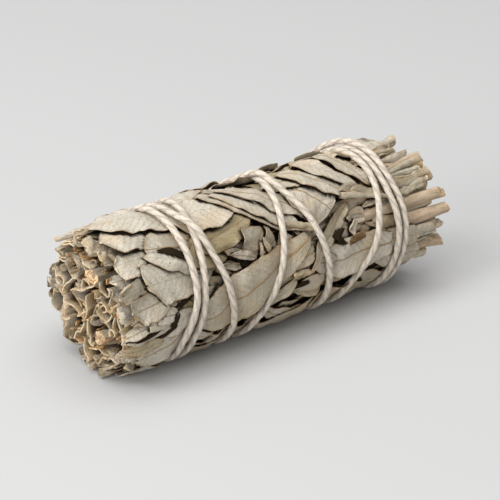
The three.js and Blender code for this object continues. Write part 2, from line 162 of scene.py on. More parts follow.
# A piece from its parts. Each holds points in millimetres, quads, and a number for each point: "along" and
# "across", which become the UV map, and the attributes that the materials read.
def makePiece(name, parts, material, slotName, *nodes):
    counts = np.cumsum([0] + [len(part["points"]) for part in parts])
    joined = {key: np.concatenate([part[key] for part in parts]) for key in parts[0] if key != "quads"}
    quads = np.concatenate([part["quads"] + start for part, start in zip(parts, counts)])
    mesh = bpy.data.meshes.new(name)
    mesh.vertices.add(counts[-1])
    mesh.vertices.foreach_set("co", (joined.pop("points") * metre).astype(np.float32).ravel())
    mesh.loops.add(quads.size)
    mesh.loops.foreach_set("vertex_index", quads.astype(np.int32).ravel())
    mesh.polygons.add(len(quads))
    mesh.polygons.foreach_set("loop_start", np.arange(0, quads.size, 4, dtype=np.int32))
    mesh.polygons.foreach_set("use_smooth", np.ones(len(quads), dtype=bool))
    mesh.update(calc_edges=True)
    mesh.set_sharp_from_angle(angle=np.radians(sharpDegrees))
    uv = np.stack([joined.pop("along"), joined.pop("across")], 1)[quads.ravel()]
    mesh.uv_layers.new(name="surface").data.foreach_set("uv", uv.astype(np.float32).ravel())
    for key in sorted(joined):
        value = joined[key].astype(np.float32)
        mesh.attributes.new(key, "FLOAT", "POINT").data.foreach_set("value", value)
    mesh.materials.append(material)
    piece = link(name, mesh)
    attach(piece, "root")
    if nodes:
        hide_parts(*nodes)
    print(f"{name}: {2 * len(quads)} triangles")


started = []  # the materials so far; nodes go into the last one


def startMaterial(name):
    started.append(bpy.data.materials.new(name))
    started[-1].use_nodes = True
    started[-1].node_tree.nodes.clear()


# Adds a node. Each input takes a socket, which is linked, or a plain value.
def put(kind, inputs={}, **settings):
    tree = started[-1].node_tree
    node = tree.nodes.new("ShaderNode" + kind)
    for key, value in settings.items():
        setattr(node, key, value)
    for key, value in inputs.items():
        if isinstance(value, bpy.types.NodeSocket):
            tree.links.new(value, node.inputs[key])
        else:
            node.inputs[key].default_value = value
    return node


def calc(operation, *values):
    return put("Math", dict(enumerate(values)), operation=operation).outputs[0]


# base + weight * (value - middle)
def plus(base, value, weight, middle=0.0):
    if middle:
        value = calc("SUBTRACT", value, middle)
    return calc("ADD", base, calc("MULTIPLY", value, weight))


# A socket that goes from 0 to 1, or back, as the value goes from low to high.
def ramp(value, low, high, start=0.0, end=1.0):
    inputs = {"Value": value, "From Min": low, "From Max": high, "To Min": start, "To Max": end}
    return put("MapRange", inputs, interpolation_type="SMOOTHSTEP").outputs[0]


def fall(value, low, high):
    return ramp(value, low, high, 1.0, 0.0)


def blend(share, a, b):
    a, b = (colour if isinstance(colour, bpy.types.NodeSocket) else (*colour, 1) for colour in (a, b))
    return put("Mix", {0: share, 6: a, 7: b}, data_type="RGBA").outputs[2]


# The colour with another over it, by weight times the share.
def over(colour, share, weight, other):
    return blend(calc("MULTIPLY", share, weight), colour, other)


def noise(where, scale, detail=3.0, roughness=0.55):
    inputs = {"Vector": where, "Scale": scale, "Detail": detail, "Roughness": roughness}
    return put("TexNoise", inputs).outputs["Fac"]


def attributes(*names):
    return [put("Attribute", attribute_name=name).outputs["Fac"] for name in names]


# Noise drawn out along the surface's own directions.
def streaks(surface, scale, *detail):
    return noise(put("Mapping", {"Vector": surface, "Scale": scale}).outputs[0], 1.0, *detail)


# Where a point lies in the object, and along and across its surface.
def places():
    return put("TexCoord").outputs["Object"], put("UVMap", uv_map="surface").outputs[0]


def finishPlain(inputs):
    put("OutputMaterial", {"Surface": put("BsdfPrincipled", inputs).outputs[0]})
    return started[-1]


def finishTree(colour, roughness, height, bumpDistance, sheen):
    bump = put("Bump", {"Height": height, "Strength": 0.9, "Distance": bumpDistance * metre})
    inputs = {"Base Color": colour, "Roughness": roughness, "Normal": bump.outputs[0],
              "Specular IOR Level": 0.08, "Sheen Weight": sheen, "Sheen Roughness": 0.6}
    return finishPlain(inputs)


leafLook = {
    "pale": (0.612, 0.562, 0.476),
    "grey": (0.440, 0.386, 0.294),
    "olive": (0.312, 0.248, 0.132),
    "warm": (0.560, 0.434, 0.286),
    "tan": (0.430, 0.275, 0.130),
    "brown": (0.700, 0.380, 0.150),
    "rimDark": (0.240, 0.145, 0.066),
    "veinLight": (0.700, 0.600, 0.440),
    "torn": (0.730, 0.610, 0.430),
    "tornTan": (0.560, 0.370, 0.190),
    "speck": (0.110, 0.075, 0.042),
    # near black: painted shade, and also the own colour of a dark brown scroll
    "deep": (0.017, 0.010, 0.004),
    "veinSpacing": 1.9,
    "veinSlant": 0.75,
    "veinWander": 1.6,
    "bump": 0.28,
    # what lies over the ground colour, by how much, and its colour
    "over": [("veinShade", 0.16, "olive"), ("sideVein", 0.34, "veinLight"), ("net", 0.14, "olive"),
             ("ribShade", 0.24, "olive"), ("midrib", 0.80, "tan"), ("margin", 0.16, "tan"),
             ("thin", 0.75, "rimDark")],
    "height": [("wander", 1.1), ("sideVein", -0.40), ("net", -0.25), ("midrib", 1.4)],
}


# Leaf: pale grey felt that turns olive with its tone, a tan midrib, slanting side veins, a fine net between
# them, brown thin margins, torn ends and small dark specks. Painted shade turns it near black where it is
# covered.
def leafMaterial():
    startMaterial("dryLeaf")
    place, surface = places()
    split = put("SeparateXYZ", {"Vector": surface})
    away = calc("ABSOLUTE", split.outputs[1])
    tone, rim, brown, deep, rib, torn = attributes("tone", "rim", "brown", "deep", "rib", "torn")
    patches = noise(place, 210.0, 4.0, 0.6)
    wander = noise(place, 800.0, 2.0)
    grain = noise(place, 3600.0, 3.0, 0.65)
    edges = noise(place, 420.0, 2.0)
    slanted = plus(split.outputs[0], away, -leafLook["veinSlant"])
    slanted = plus(slanted, wander, leafLook["veinWander"])
    phase = calc("PINGPONG", slanted, leafLook["veinSpacing"] / 2)
    net = put("TexVoronoi", {"Vector": place, "Scale": 1300.0}, feature="DISTANCE_TO_EDGE")
    ratio = calc("DIVIDE", away, rib)
    share = {
        "wander": wander,
        "sideVein": fall(phase, 0.0, 0.16),
        "veinShade": fall(phase, 0.12, 0.5),
        "net": fall(net.outputs["Distance"], 0.0, 0.13),
        "midrib": fall(ratio, 0.7, 1.3),
        "ribShade": fall(ratio, 1.2, 3.6),
        "margin": fall(rim, 0.2, 1.6),
        "thin": calc("MULTIPLY", fall(rim, 0.14, 0.34), ramp(edges, 0.34, 0.58)),
    }
    mottled = plus(plus(tone, patches, 1.3, 0.5), grain, 0.8, 0.5)
    colour = blend(ramp(mottled, 0.1, 0.65), leafLook["pale"], leafLook["grey"])
    colour = blend(ramp(mottled, 0.62, 1.1), colour, leafLook["olive"])
    hue = noise(place, 75.0, 2.0)
    colour = blend(ramp(hue, 0.50, 0.72, 0.0, 0.65), colour, leafLook["warm"])
    for name, weight, other in leafLook["over"]:
        colour = over(colour, share[name], weight, leafLook[other])
    fibres = ramp(streaks(surface, (0.5, 5.0, 1.0), 3.0), 0.35, 0.7)
    colour = blend(brown, colour, blend(fibres, leafLook["rimDark"], leafLook["brown"]))
    fresh = blend(ramp(edges, 0.48, 0.66), leafLook["torn"], leafLook["tornTan"])
    colour = over(colour, torn, 0.9, fresh)
    speck = ramp(noise(place, 2100.0, 1.0), 0.675, 0.735)
    colour = over(colour, speck, 0.65, leafLook["speck"])
    # painted shade: near black where the leaf lies covered or far inside the bunch, and a dark brown scroll's
    # own colour
    colour = blend(deep, colour, leafLook["deep"])
    height = calc("MULTIPLY", grain, 0.65)
    for name, weight in leafLook["height"]:
        height = plus(height, share[name], weight)
    return finishTree(colour, ramp(patches, 0.3, 0.7, 0.78, 0.92), height, leafLook["bump"], 0.0)


stemLook = {
    "bark": (0.360, 0.240, 0.145),
    "paleBark": (0.560, 0.420, 0.290),
    "wood": (0.560, 0.310, 0.120),
    "pith": (0.840, 0.660, 0.430),
    "dark": (0.110, 0.065, 0.032),
}


# Stem: grey tan bark with long streaks, and orange wood with a pale pith and darker fibres where it is cut.
def stemMaterial():
    startMaterial("dryStem")
    place, surface = places()
    cut, pith, tone = attributes("cut", "pith", "tone")
    streak = streaks(surface, (0.22, 1.0, 1.0), 5.0, 0.62)
    fibre = streaks(surface, (0.20, 3.4, 1.0), 3.0)
    rough = noise(place, 1500.0, 4.0, 0.65)
    patches = noise(place, 330.0, 3.0, 0.6)
    cracks = noise(place, 1500.0, 4.0, 0.75)
    bark = blend(ramp(streak, 0.35, 0.65), stemLook["bark"], stemLook["paleBark"])
    bark = over(bark, ramp(fibre, 0.58, 0.72), 0.14, stemLook["dark"])
    bark = blend(ramp(patches, 0.46, 0.66, 0.0, 0.7), bark, leafLook["warm"])
    bark = over(bark, tone, 0.5, leafLook["grey"])
    wood = blend(ramp(rough, 0.44, 0.62), stemLook["wood"], stemLook["pith"])
    wood = over(wood, pith, 0.7, stemLook["pith"])
    wood = over(wood, ramp(cracks, 0.46, 0.38), 0.85, stemLook["dark"])
    height = plus(plus(calc("MULTIPLY", streak, 0.7), fibre, 0.15), rough, 1.0)
    return finishTree(blend(cut, bark, wood), ramp(streak, 0.3, 0.7, 0.7, 0.9), height, 0.24, 0.05)


twineLook = {
    "light": (0.668, 0.598, 0.508),
    "shade": (0.550, 0.450, 0.335),
    "yarnPace": 0.55,  # yarn lines a millimetre
    "yarnLines": 4.0,  # and round a ply
    "fuzzy": 2.5,
}


# Twine: cream cotton. Fine slanting yarn lines follow each ply; painted shade darkens the grooves between
# plies and yarn lines.
def twineMaterial():
    startMaterial("cottonTwine")
    place, surface = places()
    split = put("SeparateXYZ", {"Vector": surface})
    fuzz = noise(place, 2600.0, 4.0, 0.65)
    turned = calc("MULTIPLY", split.outputs[0], twineLook["yarnPace"])
    turned = plus(turned, split.outputs[1], twineLook["yarnLines"])
    yarn = calc("SINE", plus(calc("MULTIPLY", turned, circle), fuzz, twineLook["fuzzy"]))
    soft = streaks(surface, (0.9, 9.0, 1.0), 4.0)
    colour = blend(ramp(soft, 0.35, 0.65, 0.0, 0.25), twineLook["light"], twineLook["shade"])
    # painted shade in the grooves between plies
    colour = over(colour, *attributes("groove"), 0.12, twineLook["shade"])
    # painted shade in the troughs between the yarn lines
    colour = blend(ramp(yarn, -1.0, 0.0, 0.36, 0.0), colour, twineLook["shade"])
    return finishTree(colour, 0.93, plus(calc("MULTIPLY", yarn, 0.40), fuzz, 1.2), 0.16, 0.15)


# Heart: crumbled leaf coloured near black as painted shade, seen only far down between the leaves.
def heartMaterial():
    startMaterial("darkHeart")
    crumbs = noise(put("TexCoord").outputs["Object"], 700.0, 5.0, 0.7)
    colour = blend(ramp(crumbs, 0.35, 0.7), (0.012, 0.008, 0.005), (0.070, 0.052, 0.030))
    return finishTree(colour, 0.95, crumbs, 1.2, 0.0)


leafFinish, stemFinish, twineFinish = leafMaterial(), stemMaterial(), twineMaterial()
print("materials made")

# Each row is x and turn. The turn counts on from the start, so 360 more is one round further.
twine = {
    "radius": 0.9,
    "reach": 18.5,
    "strandSpacing": 1.85,
    "plies": 3,
    "plyOffset": 0.07,
    "plyRadius": 0.775,
    "plyPitch": 12.0,
    "stepDegrees": 1.5,
    "sides": 8,
    "route": [
        (36.9, -158), (36.1, -140), (34.8, -100), (34.6, -60), (34.5, 0), (33.6, 40), (34.3, 75),
        (33.5, 100), (32.6, 120), (32.4, 220), (32.3, 340), (32, 380), (31, 400), (29, 420), (26, 448),
        (22, 466), (19, 475), (17.5, 550), (10.5, 640), (4.5, 700), (2.2, 740), (0.3, 760), (-2.7, 790),
        (-6, 815), (-10, 838), (-13, 910), (-18, 1000), (-20.5, 1050), (-22, 1080), (-23.5, 1100),
        (-25, 1125), (-27, 1160), (-28, 1180), (-29.5, 1195), (-29.8, 1280), (-28.8, 1340), (-28.3, 1420),
        (-28.5, 1480), (-29, 1520), (-31, 1540), (-33, 1555), (-31.4, 1635), (-26.5, 1690), (-26.1, 1780),
        (-25, 1822), (-23.5, 1835), (-20.5, 1870), (-17.5, 1915), (-16.5, 1990), (-6, 2070), (3, 2150),
        (5.5, 2180), (8.2, 2210), (10.4, 2240), (11.9, 2275), (13.5, 2350), (25, 2430), (34.6, 2490),
        (36, 2525), (35.6, 2550), (36.4, 2575), (36.5, 2600), (35.4, 2625), (34.8, 2650), (36.4, 2700),
        (36.2, 2740), (37.6, 2758),
    ],
}
routeX, routeTurn = np.array(twine["route"], float).T


# x at each turn: straight runs between the rows, averaged over ten degrees either way.
def cordX(turn):
    before, at, after = (np.interp(turn + shift, routeTurn, routeX) for shift in (-10, 0, 10))
    return (before + 2 * at + after) / 4


# For each whole degree of turn, the x of every strand that passes there.
def strandTable():
    table = []
    for degree in range(360):
        passes = np.arange(degree - 360, routeTurn[-1], 360)
        passes = passes[passes >= routeTurn[0]]
        table.append(np.pad(cordX(passes), (0, 10 - len(passes)), constant_values=1e3))
    return np.array(table)


strands = strandTable()


def cordDistance(x, turn):
    return np.abs(strands[np.rint(turn).astype(int) % 360] - x[..., None]).min(axis=-1)


# The heap holds the reach filled so far in each cell. A leaf comes to rest on it and fills its own cells, so
# every leaf overlaps the ones laid before it.
cell = {"length": 0.5, "degrees": 1.5, "firstX": -58.0, "along": 232, "round": 240}
heap = np.full((cell["along"], cell["round"]), core)
owner = np.full(heap.shape, -1)  # which leaf is on top of each cell


# The grid with a point added between each two.
def finer(grid):
    for _ in range(2):
        both = np.empty((2 * len(grid) - 1, grid.shape[1]))
        both[::2], both[1::2] = grid, (grid[:-1] + grid[1:]) / 2
        grid = both.T
    return grid


def cellsAt(x, turn):
    i = np.rint((x - cell["firstX"]) / cell["length"]).astype(int).clip(0, cell["along"] - 1)
    return i, np.rint(turn / cell["degrees"]).astype(int) % cell["round"]


# The highest or the mean cell within so many cells, over rows and then over columns.
def gathered(grid, cells, how):
    for axis in (0, 1):
        grid = how([np.roll(grid, k, axis) for k in range(-cells, cells + 1)], axis=0)
    return grid


# The mean of each point's four neighbours, with the edge rows and columns repeated.
def neighbourMean(grid):
    wide = np.pad(grid, 1, mode="edge")
    return (wide[:-2, 1:-1] + wide[2:, 1:-1] + wide[1:-1, :-2] + wide[1:-1, 2:]) / 4


# A sliver is a near-black sheet of painted shadow, laid where a dark gap between leaves shows.
shadowTone = 2.0  # marks a sliver that shows the dark inside of the bunch
blade = {
    "thickness": 0.24,
    "clear": 0.14,  # between a leaf and what it lies on
    "stiffness": 20,  # rounds of stretching between high spots
    "evened": 5,  # rounds of smoothing after that
    "restOfRow": (0, 0.45),  # skew and the base's share of the length, where a row doesn't give them
    "leastShare": 0.05,  # of the width, at the base and tip
    "rootShare": 0.12,  # of the length, over which the base dives into the heap
    "ragged": ((0.022, 1.3, 0), (0.012, 4, 5)),  # of the margin: share of the width, pace and seed
    "fullWaves": 8,  # the width from which a leaf has its whole wave and crumple
    "waveDegrees": 12.0,
    "waveLength": (5.0, 8.0),
    "crease": 20,  # its spread in degrees
    "crumple": 0.10,
    "grain": 0.035,
    "nearest": -48.6,  # the x beyond which leaf ends bunch up
    "bunching": 1.6,
    "broken": 41,  # the x from which tips are broken off
    "torn": 1.5,  # depth of the broken ends
    "ribbed": 0.6,  # share of the leaves that show a wide rib
    "highest": 19.2,  # the reach above which a margin bends back
    "bendsBack": 0.4,
    "open": (-47.5, 45.0),  # beyond these x, leaves are seen from inside the ends too
    # painted shade: the share of the near-black colour on a leaf where later leaves cover it
    "shadeWhereCovered": 0.96,  # share of the dark colour where a leaf is covered by others
}


# A torn margin: straight runs between random knots across the width, from nothing to the full depth.
def tornEdge(v, knots, depth, rng):
    at = np.linspace(-1, 1, knots) + rng.uniform(-0.7, 0.7, knots) / knots
    return np.interp(v, at, depth * rng.random(knots) ** 1.5)


# Half the blade's width along it: it swells over the base's share, stays full, and comes to a point over the
# tip's.
def halfWidth(u, width, tipShare, baseShare):
    def swell(t):
        return 1 - (1 - np.clip(t, 0, 1)) ** 2
    share = swell((u + 0.04) / baseShare) * swell((1.01 - u) / tipShare)
    return 0.5 * width * np.maximum(share, blade["leastShare"])


# The cross-section of a sheet from its slope angle: across and height are the running sums of the slope's
# cosine and sine, taken outwards from the middle column.
def bendAcross(w, slope):
    centre, angle = w.shape[1] // 2, (slope[:, 1:] + slope[:, :-1]) / 2
    bent = np.zeros((2, *w.shape))
    for total, wave, side in zip(bent, (np.cos, np.sin), (-1, 1)):
        step = wave(angle) * np.diff(w, axis=1)
        total[:, centre + 1:] = np.cumsum(step[:, centre:], axis=1)
        total[:, :centre] = side * np.cumsum(step[:, centre - 1::-1], axis=1)[:, ::-1]
    return bent


# Lays a leaf. Its row: x and turn of base and tip, width, sideways bow, the tip's share of the length, fold
# at the midrib and roll of the plus and minus margins in degrees, lift of the tip, tone from pale 0 to olive
# 1, how far the plus side (the upper one where the tip is at -X) runs on, and the base's share. It lies on
# the heap like a membrane: again and again it takes the higher of what is under it and its neighbours' mean.
def layLeaf(row, grid, number):
    (baseX, baseTurn, tipX, tipTurn, width, bow, tipShare, fold, rollPlus, rollMinus, tipLift, tone, skew,
     baseShare) = (*row, *blade["restOfRow"][len(row) - 12:])
    rng = np.random.default_rng(number)
    straight = column(0, 1, grid[0])
    u = mix(straight, 0.5 - 0.5 * np.cos(np.pi * straight), 0.5)
    v = sineRow(grid[1])
    margin, side = np.abs(v), np.sign(v)
    run, drop = tipX - baseX, (tipTurn - baseTurn) * mmPerDegree
    length = np.hypot(run, drop)
    headX, headS = run / length, drop / length
    small = min(1, width / blade["fullWaves"])
    ragged = sum(depth * ripple(u * length * pace, side * 3, number + more)
                 for depth, pace, more in blade["ragged"])
    half = halfWidth(u, width, tipShare, baseShare) * (1 + ragged)
    w = v * half
    roll = np.where(v > 0, rollPlus, rollMinus) * smooth((margin - 0.4) / 0.6)
    roll = roll * np.clip(0.8 + 0.35 * ripple(u * length / 4, side * 9, number + 1), 0.1, 1.6)
    waves = length / rng.uniform(*blade["waveLength"])
    phase = np.where(v > 0, rng.uniform(0, 6.3), rng.uniform(0, 6.3))
    wave = small * blade["waveDegrees"] * np.sin(circle * waves * u + phase) * margin ** 1.5
    creaseAt, creaseSide = rng.uniform(0.2, 0.7), rng.choice([-1, 1])
    crease = rng.normal(0, blade["crease"]) * smooth((v * creaseSide - creaseAt) / 0.12)
    crease = crease * np.sin(np.pi * u ** rng.uniform(0.6, 1.8))
    across, height = bendAcross(w, np.radians(fold * smooth(margin / 0.15) + roll + wave + crease))
    height = height - np.minimum(height.min(axis=1, keepdims=True), 0)
    broken = abs(tipX) > blade["broken"]
    alongMm = length * u - tornEdge(v, 9, blade["torn"], rng) * smooth((u - 0.7) / 0.3) * broken
    alongMm = alongMm + skew * w * smooth((u - 0.6) / 0.4)
    sideways = 4 * bow * u * (1 - u) + across
    x = -held(-(baseX + headX * alongMm - headS * sideways), -blade["nearest"], blade["bunching"])
    turn = baseTurn + (headS * alongMm + headX * sideways) / mmPerDegree
    rest = under = gathered(heap, 1, np.max)[cellsAt(x, turn)]
    for _ in range(blade["stiffness"]):
        rest = np.maximum(under, neighbourMean(rest))
    for _ in range(blade["evened"]):
        rest = neighbourMean(rest)
    rest = rest + blade["thickness"] / 2 + blade["clear"]
    height = height + tipLift * np.clip((u - 0.7) / 0.3, 0, 1) ** 2
    height = height + small * blade["crumple"] * ripple(alongMm / 1.7, w / 1.7, number + 3)
    height = height + blade["grain"] * ripple(alongMm / 0.5, w / 0.5, number + 4)
    root = 1 - smooth(u / blade["rootShare"])
    rest = mix(rest, np.minimum(rest, core + 0.6), root)
    height = height * (1 - root)
    top = finer(mix(rest + 0.3 * np.clip(height, 0, 2) + blade["thickness"] / 2, core, root))
    cells = i, j = cellsAt(finer(x), finer(turn))
    raised = top > heap[cells]
    owner[i[raised], j[raised]] = number
    np.maximum.at(heap, cells, top)
    rib = (0.05 + 0.017 * width) * (1 - 0.65 * u) if rng.random() < blade["ribbed"] else 0.02
    values = {"along": alongMm, "across": w, "tone": tone, "brown": 0.0, "rib": rib,
              "torn": broken * smooth(1 - (1 - u) * length / 0.5)}
    rim = np.minimum((1 - margin) * half, np.minimum(u, 1 - u) * length)
    return {"x": x, "turn": turn, "rest": rest, "height": height, "number": number, "rim": rim,
            "values": values}


# How far the finished heap is pressed in: where it stands higher than leafReach between the strands and
# cordReach under them, everything above the heart is scaled down alike.
def pressTable():
    x, turn = np.indices(heap.shape) * [[[cell["length"]]], [[cell["degrees"]]]]
    near = smooth((4.2 - cordDistance(cell["firstX"] + x, turn)) / 3.4)
    allowed = mix(bunch["leafReach"], bunch["cordReach"], near)
    stands = gathered(gathered(heap, 4, np.max), 4, np.mean)
    return gathered(np.minimum((allowed - core) / np.maximum(stands - core, 0.5), 1), 1, np.mean)


# The value between the four cells round each place.
def between(table, x, turn):
    i = ((x - cell["firstX"]) / cell["length"]).clip(0, cell["along"] - 1.001)
    j = turn / cell["degrees"]
    i0, j0 = np.floor(i).astype(int), np.floor(j).astype(int)
    low, high = (mix(table[row, j0 % cell["round"]], table[row, (j0 + 1) % cell["round"]], j - j0)
                 for row in (i0, i0 + 1))
    return mix(low, high, i - i0)


def leafPart(leaf):
    x, turn, values = leaf["x"], leaf["turn"], leaf["values"]
    later = 1.0 * (owner > leaf["number"])
    pinned = smooth(between(gathered(gathered(later, 1, np.max), 1, np.mean), x, turn) * 1.6)
    over = leaf["rest"] + leaf["height"] * (1 - pinned) - core
    reach = core + over * np.where(over > 0, between(press, x, turn), 1)
    reach = held(reach, blade["highest"], blade["bendsBack"])
    hidden = smooth((x - blade["open"][0]) / 4) * smooth((blade["open"][1] - x) / 4)
    # painted shade: a leaf turns near black where later leaves cover it, and a shadow sliver turns near black
    # all over
    covered = hidden * smooth((between(later, x, turn) - 0.48) / 0.46)
    values["deep"] = blade["shadeWhereCovered"] * covered if values["tone"] < shadowTone else 0.97
    return thickSheet(restOnTable(onBunch(x, turn, reach)), leaf["rim"], blade["thickness"], values)


# Ranges of x and of turn that stay deep.
hollows = [(-19, 3, 34, 60), (9, 15, 2, 14), (19, 40, 44, 80), (-33, -24, 58, 68)]


def inHollow(x, turn):
    return any(x0 < x < x1 and turn0 < turn < turn1 for x0, x1, turn0, turn1 in hollows)


# A long slanting leaf: both ends, the width and bow, and the rolls.
def longLeaf(layer, rng, middle, turn):
    length, slant = rng.uniform(*layer["length"]), rng.normal(0, layer["slant"])
    width, bow = rng.uniform(*layer["width"]), rng.uniform(-1.5, 1.5)
    toTip = length / 2 * (-1 if rng.random() < 0.6 else 1)
    tipX = np.clip(middle + toTip, *layer["tips"])
    return (middle - toTip, turn - slant, tipX, turn + slant, width, bow), rng.uniform(*layer["roll"], 2)


underLayer = {"count": 86, "grid": (21, 11), "seed": 11, "length": (18, 30), "slant": 12, "width": (6, 12),
              "tips": (-49, 43), "roll": (5, 45), "filled": 40}  # the first ones lie in the hollows too


def underRows():
    rng = np.random.default_rng(underLayer["seed"])
    rows = []
    for k in range(underLayer["count"]):
        middle, turn = rng.uniform(-37, 33), (k * goldenTurn + rng.uniform(-20, 20)) % 360
        ends, roll = longLeaf(underLayer, rng, middle, turn)
        lift, tone = rng.uniform(0, 0.5), rng.uniform(0.35, 0.95)
        if k <= underLayer["filled"] or not inHollow(middle, turn):
            rows.append((*ends, rng.uniform(0.3, 0.6), rng.uniform(-8, 12), *roll, lift, tone))
    return rows


# Places spread evenly over a range of x and of turn.
def evenly(k, low, high, turns):
    return mix(low, high, (k * 0.7548) % 1), mix(*turns, (k * 0.5698) % 1)


backLayer = {"count": 62, "grid": (29, 15), "seed": 23, "turns": (120, 334), "length": (17, 33), "slant": 14,
             "width": (5, 13), "tips": (-50, 44), "roll": (5, 75), "rolled": 0.75}


def backRows():
    rng = np.random.default_rng(backLayer["seed"])
    rows = []
    for k in range(backLayer["count"]):
        ends, roll = longLeaf(backLayer, rng, *evenly(k, -36, 32, backLayer["turns"]))
        roll = roll * (rng.random(2) < backLayer["rolled"])
        rows.append((*ends, rng.uniform(0.25, 0.6), rng.uniform(-8, 15), *roll, rng.uniform(0, 0.6),
                     rng.uniform(0.2, 0.75)))
    return rows


# Small leaves that fill the gaps: curled, folded and pointed, at every turn.
smallLayer = {"count": 130, "grid": (17, 11), "seed": 41}


def smallRows():
    rng = np.random.default_rng(smallLayer["seed"])
    rows = []
    for k in range(smallLayer["count"]):
        x, turn = evenly(k, -38, 34, (0, 360))
        length, heading = rng.uniform(6, 13), rng.normal(0, 0.7) + (np.pi if rng.random() < 0.65 else 0)
        dx, dTurn = 0.5 * length * np.cos(heading), 0.5 * length * np.sin(heading) / mmPerDegree
        roll = rng.uniform(0, 110, 2)
        if not inHollow(x, turn):
            rows.append((x - dx, turn - dTurn, x + dx, turn + dTurn, rng.uniform(2.4, 5.5),
                         rng.uniform(-1, 1), rng.uniform(0.4, 0.9), rng.normal(10, 20), *roll,
                         rng.uniform(0, 0.8), rng.uniform(0.3, 1.0)))
    return rows


# Leaf ends round the near end, and leaves among the stems at the far end. Later ones end sooner.
collar = {"count": 48, "grid": (29, 19), "seed": 53, "tips": (-50.4, -44.0), "uneven": 1.3,
          "limits": (-50.2, -42), "length": (11, 18), "slant": 10, "width": (4, 13), "tipShare": (0.03, 0.16),
          "fold": (0, 22), "roll": (-20, 110), "rolled": 0.7, "lift": (-1.2, 0.7), "tone": (0.0, 0.8)}
farCollar = {"count": 60, "grid": (21, 11), "seed": 57, "tips": (47.5, 39.0), "uneven": 1.5,
             "limits": (0, 48), "length": (9, 16), "slant": 8, "width": (2.2, 6), "tipShare": (0.1, 0.6),
             "fold": (10, 20), "roll": (10, 150), "rolled": None, "lift": (-0.8, 0.5), "tone": (0.2, 0.9)}


def collarRows(layer):
    rng = np.random.default_rng(layer["seed"])
    rows = []
    for k in range(layer["count"]):
        turn = (k * goldenTurn + rng.uniform(-15, 15)) % 360
        tipX = mix(*layer["tips"], k / layer["count"]) + rng.normal(0, layer["uneven"])
        roll = rng.uniform(*layer["roll"], 2)
        if layer["rolled"]:
            roll = roll * (rng.random(2) < layer["rolled"])
        baseX = tipX - np.sign(tipX) * rng.uniform(*layer["length"])
        rows.append((baseX, turn + rng.normal(0, layer["slant"]), np.clip(tipX, *layer["limits"]), turn,
                     rng.uniform(*layer["width"]), rng.uniform(-1, 1), rng.uniform(*layer["tipShare"]),
                     rng.normal(*layer["fold"]), *roll, rng.uniform(*layer["lift"]),
                     rng.uniform(*layer["tone"]), rng.normal(0, 0.4)))
    return rows


# A thin leaf that is all painted shadow.
def shadowSliver(baseX, baseTurn, tipX, tipTurn, width, bow=0):
    return baseX, baseTurn, tipX, tipTurn, width, bow, 0.5, 0, 0, 0, 0, shadowTone


